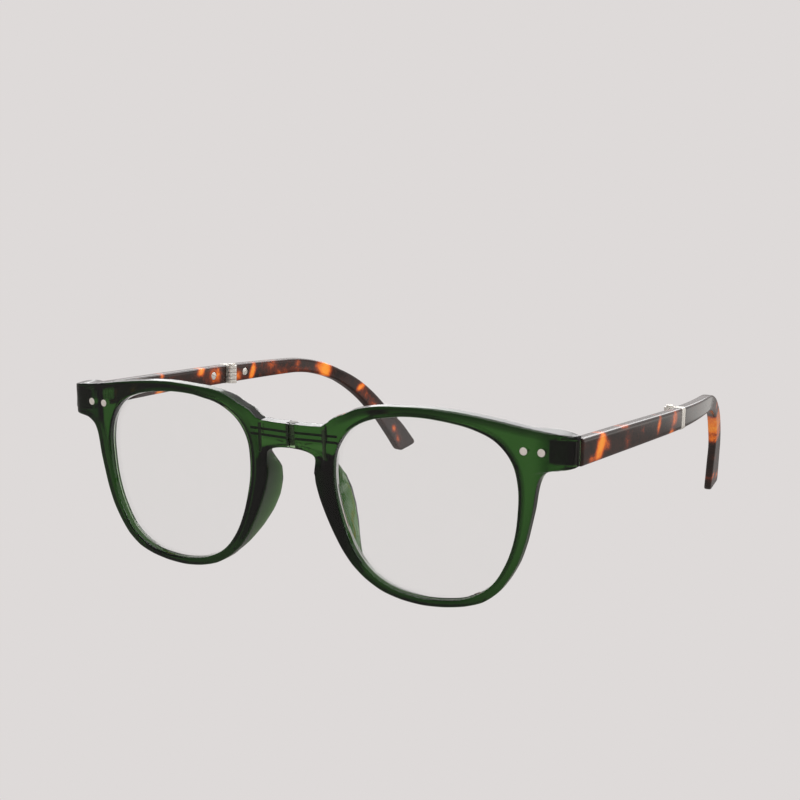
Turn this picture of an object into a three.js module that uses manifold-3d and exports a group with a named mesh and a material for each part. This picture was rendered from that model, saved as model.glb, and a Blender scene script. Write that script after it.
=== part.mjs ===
// Folding reading glasses: two green front halves hinged at the bridge, two tortoiseshell
// temples hinged at the end pieces and again half way along. Millimetres, +Z up, the wearer
// looks along -Y, so the temples run back along +Y and the wearer's left is +X.
import * as THREE from 'three';
import { mergeVertices } from 'three/addons/utils/BufferGeometryUtils.js';
import Module from 'manifold-3d';

const wasm = await Module();
wasm.setup();

// ---- driving dimensions ----------------------------------------------------------------
const WRAP = 0.0655;          // angle of each half front from the X axis, radians
const STAND_TILT = 0.0741;    // the frame stands on its rims and its ear tips
const FRONT_TILT = 0.0611;    // the rims lean forward below the bridge, as backward distance per height
const LEAN_FROM = 8.5;        // height that keeps its place
const RIM_DEPTH = 3.15;       // front to back thickness of a rim
const EDGE_IN = 0.45;         // edge radius at the aperture
const EDGE_OUT = 1.0;         // edge radius at the outside
const SEAM = 0.12;            // half of the gap between the halves
const PAST = -0.6;            // the plain half runs this far past the middle before it is cut flat
const APERTURE_X = 32.74;     // lens centre from the middle
const APERTURE_R = [25.57, 24.75, 22.57, 19.34, 16.69, 15.01, 14.15, 13.83, 14.05, 14.68, 16.12, 17.81, 19.49, 20.46,
  20.62, 20.97, 21.59, 22.89, 24.72, 26.5, 27.47, 28.09, 28.92, 29.93, 30.01, 28.72, 27.32, 26.15];
const GROOVE = [1.25, 1.9, 2.55, 0.75];   // front, bottom and back depth of the lens groove, and how far it goes in
const CORNER_R = 4.15;        // rounding of the end piece seen from above
const END_X = 71.75;          // outside of the end piece
// outer outline of a half: [angle on the aperture, outward, up], once round from the temple side
const OUTLINE = [
  [357.4, 62.40, -1.20], [1.2, 62.86, 0.91], [3.0, 63.86, 3.02], [5.0, 66.20, 4.55], [6.8, 69.20, 5.10],
  [8.5, 71.75, 5.40], [11.0, 71.75, 7.60], [13.5, 71.75, 9.80], [16.0, 71.75, 11.90], [18.0, 68.72, 12.67],
  [20.5, 64.78, 13.05], [24.0, 59.81, 13.67], [28.9, 54.24, 14.55], [38.8, 48.86, 15.26],
  [53.1, 43.14, 15.86], [69.8, 37.97, 16.16], [86.7, 33.51, 16.13], [103.9, 29.07, 15.98],
  [119.4, 25.04, 15.79], [130.1, 21.32, 15.34], [139.1, 17.80, 14.54], [146.9, 14.83, 13.19],
  [152.5, 11.87, 12.04], [155.3, 10.35, 10.85], [157.4, 8.70, 9.72], [159.5, 5.00, 9.62],
  [161.5, PAST, 9.72], [164.0, PAST, 7.00], [166.5, PAST, 4.00], [168.8, 2.60, 3.75], [171.5, 5.20, 3.20],
  [174.8, 6.75, 2.30], [179.3, 6.94, 0.62], [184.0, 6.75, -1.40], [189.7, 6.97, -3.92], [197.6, 7.92, -7.36],
  [207.1, 9.39, -11.09], [216.8, 11.20, -14.92], [227.1, 13.56, -19.09], [236.2, 16.26, -22.60],
  [244.4, 19.74, -25.62], [253.5, 24.12, -28.06], [263.5, 29.12, -29.47], [273.7, 34.39, -30.08],
  [283.9, 39.85, -29.88], [293.3, 45.09, -29.03], [301.3, 49.61, -27.48], [308.8, 53.32, -24.75],
  [316.4, 56.15, -21.10], [324.7, 58.34, -17.20], [333.7, 59.93, -12.76], [342.5, 61.06, -8.27],
  [349.9, 61.84, -4.84],
];
// nose pad: [height, how deep it reaches, how far its nose side leans outwards]
const PAD = [[4.4, RIM_DEPTH, 0], [2.9, 3.8, 0.8], [1.5, 4.7, 1.5], [-1.0, 6.8, 2.0], [-4.0, 9.0, 2.1], [-8.0, 10.3, 1.9],
  [-12.0, 10.5, 1.45], [-15.5, 9.6, 1.0], [-19.0, 7.6, 0.6], [-22.5, 4.9, 0.2], [-24.5, RIM_DEPTH, 0]];

const TEMPLE_Y = 7.4548, TEMPLE_Z = 8.3604;   // where the temple's centre line starts
const TEMPLE_SLOPE = -0.1276;                 // downwards towards the ear, radians
const BEND_START = 88.24, BEND_LENGTH = 43.73, BEND_ANGLE = 0.9063;
const TEMPLE_END = 148.0, END_SLANT = 0.5;   // the ear tip is cut on a slant, longer on its upper side
const BUTT = 0.85;            // along the temple: the back of the end piece
const TEMPLE_START = 1.05;
const MID = 61.53;            // along the temple: the fold in the middle
const PLATE = 1.2;            // thickness of each end plate of that fold
const INNER_X = 68.87, BOW = 0.0023, BOW_START = 48.5, BOW_LENGTH = 53.9;   // inner face; it bows in, then runs straight
const HALF_HEIGHT = [[0, 3.1], [30, 2.9], [61.53, 2.63], [90, 2.16], [109, 1.88], [122, 2.5], [134, 3.3], [148, 4.0]];
const THICK = [[0, 3.0], [63, 2.9], [110, 2.8], [148, 2.5]];

const BRIDGE_AXIS_D = 2.35, BRIDGE_R = 1.0, BRIDGE_Z = [4.25, 9.75];
const PRONG_Z = [5.85, 7.3], PRONG = 0.25;     // two thin prongs anchor each bridge leaf in the plastic
const PIN_R = 0.45;
const HINGE_R = 1.4;
const END_AXIS = { s: 1.96, a: -1.97 };       // end piece hinge, along and outward from the temple's inner face
const MID_AXIS = { s: MID, a: -0.8 };
const KNUCKLE_GAP = 0.12;

// ---- helpers -----------------------------------------------------------------------------
const DEG = Math.PI / 180;
const V = (x, y, z) => new THREE.Vector3(x, y, z);
const lerp = (table, t) => {
  const n = table.length, up = table[n - 1][0] > table[0][0];
  const key = (i) => (up ? table[i][0] : -table[i][0]);
  const q = up ? t : -t;
  if (q <= key(0)) return table[0].slice(1);
  for (let i = 1; i < n; i++) if (q <= key(i)) {
    const f = (q - key(i - 1)) / (key(i) - key(i - 1));
    return table[i].slice(1).map((v, k) => table[i - 1][k + 1] * (1 - f) + v * f);
  }
  return table[n - 1].slice(1);
};
const smooth = (t) => { const q = Math.min(1, Math.max(0, t)); return q * q * (3 - 2 * q); };
function apertureRadius(deg) {               // closed Catmull-Rom through the radii
  const n = APERTURE_R.length, f = (((deg % 360) + 360) % 360) / 360 * n;
  const i = Math.floor(f), t = f - i, g = (k) => APERTURE_R[(i + k + n) % n];
  const [a, b, c, d] = [g(-1), g(0), g(1), g(2)];
  return 0.5 * (2 * b + (c - a) * t + (2 * a - 5 * b + 4 * c - d) * t * t + (3 * b - a - 3 * c + d) * t * t * t);
}
// outward, depth behind the front surface and height of a half front -> glasses frame
const half = (u, d, z) => V(u * Math.cos(WRAP) - d * Math.sin(WRAP), u * Math.sin(WRAP) + d * Math.cos(WRAP) + FRONT_TILT * (z - LEAN_FROM), z);
const FACING = V(Math.sin(WRAP), -Math.cos(WRAP), FRONT_TILT * Math.cos(WRAP)).normalize();   // square to the front surface

function solid(geometry) {
  const g = geometry.clone();
  for (const k of Object.keys(g.attributes)) if (k !== 'position') g.deleteAttribute(k);
  const m = mergeVertices(g, 1e-5);
  const s = new wasm.Manifold(new wasm.Mesh({ numProp: 3,
    vertProperties: new Float32Array(m.attributes.position.array), triVerts: new Uint32Array(m.index.array) }));
  return s;
}
function geometryOf(s) {
  const m = s.getMesh(), n = m.numProp, p = new Float32Array(m.vertProperties.length / n * 3);
  for (let i = 0; i < p.length / 3; i++) for (let k = 0; k < 3; k++) p[3 * i + k] = m.vertProperties[n * i + k];
  const g = new THREE.BufferGeometry();
  g.setAttribute('position', new THREE.BufferAttribute(p, 3));
  g.setIndex(new THREE.BufferAttribute(new Uint32Array(m.triVerts), 1));
  g.computeVertexNormals();
  return g;
}
const join = (...s) => s.reduce((a, b) => a.add(b));
const cut = (a, ...s) => s.reduce((x, b) => x.subtract(b), a);

// closed surface through rings of points; joined end to start, or capped at both ends
function rings(list, closed) {
  const n = list.length, m = list[0].length, pos = [], idx = [];
  for (const r of list) for (const p of r) pos.push(p.x, p.y, p.z);
  for (let i = 0; i < (closed ? n : n - 1); i++) for (let j = 0; j < m; j++) {
    const a = i * m + j, b = i * m + (j + 1) % m, c = ((i + 1) % n) * m + j, d = ((i + 1) % n) * m + (j + 1) % m;
    idx.push(a, b, d, a, d, c);
  }
  if (!closed) for (const [k, flip] of [[0, true], [n - 1, false]]) {
    const centre = list[k].reduce((s, p) => s.add(p), V(0, 0, 0)).multiplyScalar(1 / m);
    const ci = pos.length / 3; pos.push(centre.x, centre.y, centre.z);
    for (let j = 0; j < m; j++) { const a = k * m + j, b = k * m + (j + 1) % m; idx.push(...(flip ? [ci, b, a] : [ci, a, b])); }
  }
  let vol = 0;
  const at = (i) => V(pos[3 * i], pos[3 * i + 1], pos[3 * i + 2]);
  for (let i = 0; i < idx.length; i += 3) vol += at(idx[i]).dot(at(idx[i + 1]).cross(at(idx[i + 2])));
  if (vol < 0) for (let i = 0; i < idx.length; i += 3) [idx[i + 1], idx[i + 2]] = [idx[i + 2], idx[i + 1]];
  const g = new THREE.BufferGeometry();
  g.setAttribute('position', new THREE.BufferAttribute(new Float32Array(pos), 3));
  g.setIndex(idx);
  return g;
}
// round bar between two points
function rod(a, b, r, seg = 20) {
  const g = new THREE.CylinderGeometry(r, r, a.distanceTo(b), seg);
  g.applyQuaternion(new THREE.Quaternion().setFromUnitVectors(V(0, 1, 0), b.clone().sub(a).normalize()));
  const c = a.clone().add(b).multiplyScalar(0.5);
  return g.translate(c.x, c.y, c.z);
}
// turned piece: profile of [radius, height] standing at a point along a direction
function turned(profile, at, dir, seg = 24) {
  const g = new THREE.LatheGeometry(profile.map(([r, h]) => new THREE.Vector2(r, h)), seg);
  g.applyQuaternion(new THREE.Quaternion().setFromUnitVectors(V(0, 1, 0), dir.clone().normalize()));
  return g.translate(at.x, at.y, at.z);
}
const block = (map, [a0, a1], [b0, b1], [c0, c1]) => {      // box in the coordinates of map
  const ring = (a) => [map(a, b0, c0), map(a, b1, c0), map(a, b1, c1), map(a, b0, c1)];
  return rings([ring(a0), ring(a1)], false);
};

// ---- temple coordinates --------------------------------------------------------------------
const pathAngle = (s) => TEMPLE_SLOPE - BEND_ANGLE * Math.min(1, Math.max(0, (s - BEND_START) / BEND_LENGTH));
const STEP = 0.25, PATH = [[TEMPLE_Y, TEMPLE_Z]];
for (let s = STEP; s <= TEMPLE_END + 4; s += STEP) {
  const a = pathAngle(s - STEP / 2), [y, z] = PATH[PATH.length - 1];
  PATH.push([y + STEP * Math.cos(a), z + STEP * Math.sin(a)]);
}
function centre(s) {
  if (s < 0) return [TEMPLE_Y + s * Math.cos(TEMPLE_SLOPE), TEMPLE_Z + s * Math.sin(TEMPLE_SLOPE)];
  const i = Math.min(PATH.length - 2, Math.floor(s / STEP)), f = s / STEP - i;
  return [PATH[i][0] * (1 - f) + PATH[i + 1][0] * f, PATH[i][1] * (1 - f) + PATH[i + 1][1] * f];
}
const innerX = (s) => {
  const q = Math.min(BOW_LENGTH, Math.max(0, s - BOW_START));
  return INNER_X - BOW * q * q - 2 * BOW * BOW_LENGTH * Math.max(0, s - BOW_START - BOW_LENGTH);
};
// along the temple, outward from its inner face, up from its centre line
function temple(s, a, v) {
  const [y, z] = centre(s), t = pathAngle(s);
  return V(innerX(s) + a, y - v * Math.sin(t), z + v * Math.cos(t));
}
const AXIS = V(0, -Math.sin(TEMPLE_SLOPE), Math.cos(TEMPLE_SLOPE));      // both temple hinges turn about this

function section(s, shrink = 0, grow = 0, slant = 0) {                              // rounded temple section
  const h = lerp(HALF_HEIGHT, s)[0] + grow - shrink, t = lerp(THICK, s)[0] + 2 * grow - 2 * shrink;
  const r = Math.min(0.6, t * 0.36, h * 0.6), ri = r, loop = [];
  const corner = (ca, cv, q, rad) => { for (const k of [0, 0.5, 1]) {
    const w = (q + k * 90) * DEG; loop.push([ca + rad * Math.cos(w), cv + rad * Math.sin(w)]); } };
  const c = -grow + shrink;
  corner(c + t - r, h - r, 0, r); corner(c + ri, h - ri, 90, ri); corner(c + ri, -h + ri, 180, ri); corner(c + t - r, -h + r, 270, r);
  return loop.map(([a, v]) => temple(s + slant * v, a, v));
}
function templeBody(from, to, endRound) {
  const stops = [from];
  for (let s = Math.ceil(from / 8) * 8; s < to - 1.5; s += (s >= 84 && s < 132 ? 4 : 8)) if (s > from + 1) stops.push(s);
  const list = [];
  if (endRound) {
    for (const s of stops.filter((q) => q < to - 9)) list.push(section(s));
    for (const [k, f] of [[-8, 0], [-5, 0.5]]) list.push(section(to + k, 0, 0, END_SLANT * f));
    for (const [k, sh] of [[-2, 0], [-1.1, 0.16], [-0.45, 0.45], [-0.1, 0.85], [0, 1.2]]) list.push(section(to + k, sh, 0, END_SLANT));
  } else { stops.push(to); for (const s of stops) list.push(section(s)); }
  return rings(list, false);
}
const knuckles = (v0, v1, n) => {                                        // n equal knuckle heights
  const h = (v1 - v0) / n;
  return [...Array(n).keys()].map((i) => [v0 + i * h + (i ? KNUCKLE_GAP / 2 : 0), v0 + (i + 1) * h - (i < n - 1 ? KNUCKLE_GAP / 2 : 0)]);
};
const along = (p, dir, k) => p.clone().addScaledVector(dir, k);

// ---- one half of the front, in its plain shape ------------------------------------------------
function frontHalf() {
  const list = OUTLINE.map(([deg, u1, z1]) => {
    const r = apertureRadius(deg), u0 = APERTURE_X + r * Math.cos(deg * DEG), z0 = r * Math.sin(deg * DEG);
    const w = Math.hypot(u1 - u0, z1 - z0), du = (u1 - u0) / w, dz = (z1 - z0) / w;
    const atSeam = u1 < 1, ro = atSeam ? 0.12 : EDGE_OUT, ri = EDGE_IN, nasal = deg > 166 && deg < 250;
    const [deep, lean] = nasal ? lerp(PAD, z1) : [RIM_DEPTH, 0];
    const rear = (p) => {                                                // back surface of the plain rim
      const u = u0 + p * du;
      return RIM_DEPTH + 2.05 * smooth((u - 61) / 6) + 0.6 * (1 - smooth((u - 7) / 6));
    };
    const front = (p, d) => {                                            // the corner of the end piece
      const u = u0 + p * du, k = u - (END_X - CORNER_R);
      return k <= 0 ? d : Math.max(d, CORNER_R - Math.sqrt(Math.max(0, CORNER_R ** 2 - Math.min(k, CORNER_R) ** 2)));
    };
    const pts = [];
    const put = (p, d) => pts.push(half(u0 + p * du, d, z0 + p * dz));
    put(0, ri); put(0.29 * ri, 0.29 * ri);
    const f = [ri, ...[0.35, 0.65, 0.86].map((k) => ri + (w - ri - ro) * k), w - ro];
    for (const p of f) put(p, front(p, 0));
    put(w - 0.29 * ro, front(w - 0.29 * ro, 0.29 * ro));
    put(w, Math.min(front(w, ro), 3.9));
    const bump = deep - RIM_DEPTH;
    if (bump > 0.05) {
      const thick = Math.min(2.1, 0.42 * w), q = (d) => w - lean * (d / deep) ** 1.3;
      put(q(RIM_DEPTH * 0.62), RIM_DEPTH * 0.62);
      put(q(deep - 0.75), deep - 0.75); put(q(deep - 0.2) - 0.25, deep - 0.2); put(q(deep) - thick * 0.5, deep);
      put(q(deep) - thick * 0.9, deep - 0.35);
      const back = Math.max(ri + 0.25, q(deep) - thick * 1.25);
      put(back, Math.max(RIM_DEPTH + 0.04, RIM_DEPTH + bump * 0.45));
      put(ri + (back - ri) * 0.45, RIM_DEPTH + bump * 0.08 + 0.02);
    } else {
      const rw = rear(w);
      put(w, u1 > 68 ? 4.0 : 0.5 * (rw + 0.2)); put(w, rw - ro); put(w - 0.29 * ro, rw - 0.29 * ro); put(w - ro, rear(w - ro));
      for (const k of [0.78, 0.5, 0.25]) { const p = ri + (w - ri - ro) * k; put(p, rear(p)); }
    }
    put(ri, rear(ri)); put(0.29 * ri, rear(0) - 0.29 * ri); put(0, rear(0) - ri);
    put(0, GROOVE[2]); put(GROOVE[3], GROOVE[1]); put(0, GROOVE[0]);
    return pts;
  });
  return solid(rings(list, true));
}
const T3 = (a, b, c) => temple(b, a, c);                                 // (outward, along, up) order for blocks
const H3 = (a, b, c) => half(a, b, c);                                   // (outward, depth, up)

const endAt = temple(END_AXIS.s, END_AXIS.a, 0), midAt = temple(MID_AXIS.s, MID_AXIS.a, 0);
const RIVETS = [[59.8, 8.48], [64.0, 8.48]];

function finishedFront(left) {
  let body = frontHalf();
  const straight = (s, a, v) => {                                        // temple frame carried on in a straight line
    const y = TEMPLE_Y + s * Math.cos(TEMPLE_SLOPE) - v * Math.sin(TEMPLE_SLOPE), z = TEMPLE_Z + s * Math.sin(TEMPLE_SLOPE) + v * Math.cos(TEMPLE_SLOPE);
    return V(INNER_X + a, y, z);
  };
  body = cut(body,
    solid(block((a, b, c) => straight(b, a, c), [-4.9, 8], [BUTT, 8], [-7, 7])),               // flat for the temple's butt
    solid(block((a, b, c) => straight(b, a, c), [-4.05, 2.25], [-1.05, 2], [-2.7, 2.7])),       // pocket of the hinge leaf
    solid(rod(along(endAt, AXIS, -3.0), along(endAt, AXIS, 3.0), 1.72, 16)),
    solid(block(V, [-6, SEAM], [-2, 8], [2, 12])),                                               // flat face at the middle
    solid(block(V, [-6, 1.85], [BRIDGE_AXIS_D - BRIDGE_R - 0.2, 8], [2, 12])),                  // room for the bridge barrel
    ...PRONG_Z.map((z) => solid(block(H3, [1, 12.75], [BRIDGE_AXIS_D - 0.35, BRIDGE_AXIS_D + 0.35], [z - 0.35, z + 0.35]))));
  for (const [u, z] of RIVETS) body = cut(body, solid(rod(along(half(u, 0, z), FACING, 1), along(half(u, 0, z), FACING, -2.35), 1.07, 14)));
  return body;
}

// ---- lens ---------------------------------------------------------------------------------
function lens() {
  const N = 42;
  const ring = (k, off, d) => [...Array(N).keys()].map((i) => {
    const a = i / N * 360, r = (apertureRadius(a) + off) * k;
    return half(APERTURE_X + r * Math.cos(a * DEG), d, r * Math.sin(a * DEG));
  });
  const c0 = [0.6, 1.55];                                                 // front and back at the middle: both faces bulge forward alike
  const list = [ring(0.02, 0, c0[0]), ring(0.6, 0, c0[0] + 0.32), ring(1, -0.18, 1.5), ring(1, 0.42, 1.9),
    ring(1, -0.18, 2.35), ring(0.6, 0, c0[1] + 0.29), ring(0.02, 0, c0[1])];
  return solid(rings(list, false));
}

// ---- bridge hinge ----------------------------------------------------------------------------
function bridgeLeaf(mine) {                                               // mine: which of the five knuckles
  const all = knuckles(BRIDGE_Z[0], BRIDGE_Z[1], 5), D = BRIDGE_AXIS_D;
  let leaf = join(solid(block(V, [BRIDGE_R + 0.12, 1.7], [D - 0.6, D + 0.6], BRIDGE_Z)),
    ...PRONG_Z.map((z) => solid(block(H3, [1.62, 12.6], [D - PRONG, D + PRONG], [z - PRONG, z + PRONG]))));
  const bore = solid(rod(V(0, D, BRIDGE_Z[0] - 1), V(0, D, BRIDGE_Z[1] + 1), PIN_R + 0.1, 12));
  for (const i of mine) leaf = leaf.add(join(solid(rod(V(0, D, all[i][0]), V(0, D, all[i][1]), BRIDGE_R, 14)),
    solid(block(V, [0, BRIDGE_R + 0.35], [D - 0.55, D + 0.55], all[i]))));
  return cut(leaf, bore);
}
function bridgePin() {
  const D = BRIDGE_AXIS_D, [z0, z1] = BRIDGE_Z;
  return solid(turned([[0, z0 + 0.15], [PIN_R, z0 + 0.15], [PIN_R, z1 - 0.1], [0, z1 - 0.1]], V(0, D, 0), V(0, 0, 1), 12));
}

// ---- hinges of the temples --------------------------------------------------------------------
const END_V = [-2.7, 2.7], MID_V = [-2.72, 2.72];
function knuckleSet(at, v, mine, webOf) {
  const all = knuckles(v[0], v[1], 5), out = [];
  for (const i of mine) {
    out.push(solid(rod(along(at, AXIS, all[i][0]), along(at, AXIS, all[i][1]), HINGE_R, 12)), webOf(all[i]));
  }
  return out;
}
const boreOf = (at, v) => solid(rod(along(at, AXIS, v[0] - 1), along(at, AXIS, v[1] + 1), PIN_R + 0.17, 10));
const clearOf = (at, v) => solid(rod(along(at, AXIS, v[0] - 1), along(at, AXIS, v[1] + 1), HINGE_R + 0.15, 12));
function endLeaf() {
  const plate = solid(block(T3, [-3.9, 2.1], [-0.9, 0.72], [-2.55, 2.55]));
  return cut(join(cut(plate, clearOf(endAt, END_V)), ...knuckleSet(endAt, [-2.5, 2.5], [0, 2, 4],
    (v) => solid(block(T3, [-3.2, -1.0], [0.3, END_AXIS.s], v)))), boreOf(endAt, END_V));
}
function templeLeaf() {
  const plate = solid(block(T3, [0.15, 1.15], [1.3, 13.0], [-1.7, 1.7]));
  return cut(join(plate, ...knuckleSet(endAt, [-2.5, 2.5], [1, 3],
    (v) => solid(block(T3, [END_AXIS.a, 0.9], [1.25, 2.75], [Math.max(v[0], -1.69), Math.min(v[1], 1.69)])))), boreOf(endAt, END_V));
}
function screwPin(at, v, headR) {                                          // slotted head above, rounded foot below
  const profile = [[0, v[0] - 0.1], [PIN_R, v[0] + 0.1], [PIN_R, v[1] + 0.1], [headR, v[1] + 0.1], [headR, v[1] + 0.35], [headR * 0.75, v[1] + 0.5], [0, v[1] + 0.5]];
  const s = solid(turned(profile, at, AXIS, 14));
  const c = along(at, AXIS, v[1] + 0.5), x = V(1, 0, 0), y = V(0, Math.cos(TEMPLE_SLOPE), Math.sin(TEMPLE_SLOPE));
  const slot = solid(block((a, b, k) => c.clone().addScaledVector(x, a).addScaledVector(y, b).addScaledVector(AXIS, k), [-1.5, 1.5], [-0.13, 0.13], [-0.22, 0.3]));
  return cut(s, slot);
}
function midLeaf(rear) {
  const sg = rear ? 1 : -1, s0 = MID + sg * 0.08, s1 = MID + sg * (0.08 + PLATE), lo = Math.min(s0, s1), hi = Math.max(s0, s1);
  const plate = solid(rings([section(lo, 0, 0.12), section(hi, 0, 0.12)], false));
  const tongue = solid(rings([...Array(5).keys()].map((i) => { const s = s1 - sg * 0.3 + sg * i * 3.3;
    return [T3(0.95, s, -1.35), T3(1.95, s, -1.35), T3(1.95, s, 1.35), T3(0.95, s, 1.35)]; }), false));
  const web = (v) => solid(block(T3, [MID_AXIS.a, 1.3], rear ? [MID + 0.1, MID + 1.1] : [MID - 1.1, MID - 0.1], v));
  return cut(join(cut(plate, clearOf(midAt, MID_V)), tongue, ...knuckleSet(midAt, [-2.6, 2.6], rear ? [1, 3] : [0, 2, 4], web)), boreOf(midAt, MID_V));
}
const SCREW_AT = 7.0;                                                      // fastening screws from the fold
function fastener(rear) {
  const s = MID + (rear ? SCREW_AT : -SCREW_AT), at = temple(s, 0, 0), out = V(1, 0, 0);
  const head = solid(turned([[0, -0.06], [0.95, -0.06], [1.15, 0.1], [1.15, 0.5], [0.6, 0.5], [0.6, 0.8], [0, 0.8]], at, out, 14));
  const n = temple(s, 0, 1).sub(at).normalize();
  const t = V(0, n.z, -n.y), k = (rear ? 0.6 : -0.5);
  const d = t.clone().multiplyScalar(Math.cos(k)).addScaledVector(n, Math.sin(k)), e = d.clone().cross(out);
  const slot = solid(block((a, b, c) => at.clone().addScaledVector(out, a).addScaledVector(d, b).addScaledVector(e, c), [-0.3, 0.2], [-1.4, 1.4], [-0.16, 0.16]));
  return cut(head, slot);
}
function templeFront() {
  let body = solid(templeBody(TEMPLE_START, MID - 0.08 - PLATE - 0.1, false));
  body = cut(body, solid(block(T3, [-1.5, 1.3], [-1, 13.2], [-1.85, 1.85])));
  return cut(body, tonguePocket(false), fastenerHole(false));
}
function tonguePocket(rear) {
  const sg = rear ? 1 : -1, s1 = MID + sg * (0.08 + PLATE);
  return solid(rings([...Array(5).keys()].map((i) => { const s = s1 - sg * 0.8 + sg * i * 3.5;
    return [T3(0.8, s, -1.5), T3(2.1, s, -1.5), T3(2.1, s, 1.5), T3(0.8, s, 1.5)]; }), false));
}
function fastenerHole(rear) {
  const s = MID + (rear ? SCREW_AT : -SCREW_AT), at = temple(s, 0, 0);
  return solid(rod(along(at, V(1, 0, 0), -1), along(at, V(1, 0, 0), 1.2), 1.3, 14));
}
function templeRear() {
  const body = solid(templeBody(MID + 0.08 + PLATE + 0.1, TEMPLE_END, true));
  return cut(body, tonguePocket(true), fastenerHole(true));
}
function rivet([u, z]) {
  return solid(turned([[0, -2.25], [0.95, -2.25], [0.95, 0.02], [0.8, 0.14], [0, 0.14]], half(u, 0, z), FACING, 14));
}

// ---- materials ----------------------------------------------------------------------------------
const green = new THREE.MeshStandardMaterial({ color: 0x24482a, roughness: 0.12, metalness: 0 });
const clear = new THREE.MeshStandardMaterial({ color: 0xf4f6f6, roughness: 0.03, metalness: 0 });
const tortoise = new THREE.MeshStandardMaterial({ color: 0x3a1d12, roughness: 0.15, metalness: 0 });
const steel = new THREE.MeshStandardMaterial({ color: 0xb9b9b4, roughness: 0.3, metalness: 1 });

// ---- assembly -----------------------------------------------------------------------------------
const glasses = new THREE.Group();
const stand = new THREE.Group();
stand.rotation.x = STAND_TILT;
glasses.add(stand);
const mirrored = (s) => {                                                 // the right side is the left one mirrored
  const g = geometryOf(s), p = g.attributes.position, i = g.index.array;
  for (let k = 0; k < p.count; k++) p.setX(k, -p.getX(k));
  for (let k = 0; k < i.length; k += 3) [i[k + 1], i[k + 2]] = [i[k + 2], i[k + 1]];
  g.computeVertexNormals();
  return g;
};
const ORIGINS = { front: V(0, 0, 0), end: endAt, mid: midAt };
function sideGroup(side) {
  const right = side === 'right', sx = right ? -1 : 1, group = new THREE.Group();
  const add = (name, s, material, origin = ORIGINS.front, parent = group, parentAt = V(0, 0, 0)) => {
    const g = right ? mirrored(s) : geometryOf(s);
    g.translate(-sx * origin.x, -origin.y, -origin.z);
    const m = new THREE.Mesh(g, material);
    m.name = name;
    m.position.set(sx * (origin.x - parentAt.x), origin.y - parentAt.y, origin.z - parentAt.z);
    parent.add(m);
  };
  add(`front_half_${side}`, finishedFront(!right), green);
  add(`lens_${side}`, lens(), clear);
  add(`rivet_inner_${side}`, rivet(RIVETS[0]), steel);
  add(`rivet_outer_${side}`, rivet(RIVETS[1]), steel);
  add(`bridge_leaf_${side}`, bridgeLeaf(right ? [1, 3] : [0, 2, 4]), steel);
  add(`end_leaf_${side}`, endLeaf(), steel, endAt);
  add(`end_screw_${side}`, screwPin(endAt, [-2.5, 2.5], 1.0), steel, endAt);
  const arm = new THREE.Group();                                          // turns at the end piece
  arm.position.set(sx * endAt.x, endAt.y, endAt.z);
  group.add(arm);
  add(`temple_leaf_${side}`, templeLeaf(), steel, endAt, arm, endAt);
  add(`temple_front_${side}`, templeFront(), tortoise, endAt, arm, endAt);
  add(`mid_leaf_front_${side}`, midLeaf(false), steel, midAt, arm, endAt);
  add(`mid_screw_front_${side}`, fastener(false), steel, midAt, arm, endAt);
  add(`mid_pin_${side}`, screwPin(midAt, [-2.6, 2.6], 0.95), steel, midAt, arm, endAt);
  const tail = new THREE.Group();                                         // turns half way along
  tail.position.set(sx * (midAt.x - endAt.x), midAt.y - endAt.y, midAt.z - endAt.z);
  arm.add(tail);
  add(`temple_rear_${side}`, templeRear(), tortoise, midAt, tail, midAt);
  add(`mid_leaf_rear_${side}`, midLeaf(true), steel, midAt, tail, midAt);
  add(`mid_screw_rear_${side}`, fastener(true), steel, midAt, tail, midAt);
  return group;
}
stand.add(sideGroup('left'), sideGroup('right'));
const pin = new THREE.Mesh(geometryOf(bridgePin()), steel);
pin.name = 'bridge_pin';
stand.add(pin);

// the origin is under the middle of the standing frame
glasses.updateMatrixWorld(true);
const box = new THREE.Box3().setFromObject(glasses, true);
stand.position.set(0, -(box.min.y + box.max.y) / 2, -box.min.z);
glasses.updateMatrixWorld(true);

export default glasses;
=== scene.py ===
"""Looks of the folding reading glasses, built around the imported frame.

Plain helper coordinates are millimetres in the wearer's frame before the glasses are stood on
their rims and ear tips: x to the wearer's left, y back towards the ears, z up, with the front
surface at the bridge at y = 0. world() turns them into the frame's metres.
"""
import math

import bpy
import bmesh
import numpy as np
from mathutils import Matrix, Vector

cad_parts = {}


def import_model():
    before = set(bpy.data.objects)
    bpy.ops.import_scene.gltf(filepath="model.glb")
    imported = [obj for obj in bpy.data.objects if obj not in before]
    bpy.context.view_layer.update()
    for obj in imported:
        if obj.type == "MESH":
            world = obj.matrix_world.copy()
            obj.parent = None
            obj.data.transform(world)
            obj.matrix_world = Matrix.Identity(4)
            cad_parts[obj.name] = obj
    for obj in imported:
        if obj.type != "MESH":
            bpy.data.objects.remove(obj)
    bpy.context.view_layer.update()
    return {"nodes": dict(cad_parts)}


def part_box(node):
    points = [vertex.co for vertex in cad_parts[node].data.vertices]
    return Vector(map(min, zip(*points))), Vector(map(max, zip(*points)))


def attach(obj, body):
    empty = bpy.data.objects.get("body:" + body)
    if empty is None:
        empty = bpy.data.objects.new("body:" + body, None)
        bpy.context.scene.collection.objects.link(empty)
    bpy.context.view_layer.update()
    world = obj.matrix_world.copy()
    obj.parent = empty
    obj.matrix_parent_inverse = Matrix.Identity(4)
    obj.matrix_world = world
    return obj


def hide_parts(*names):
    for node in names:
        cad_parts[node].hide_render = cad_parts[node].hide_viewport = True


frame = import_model()

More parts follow.
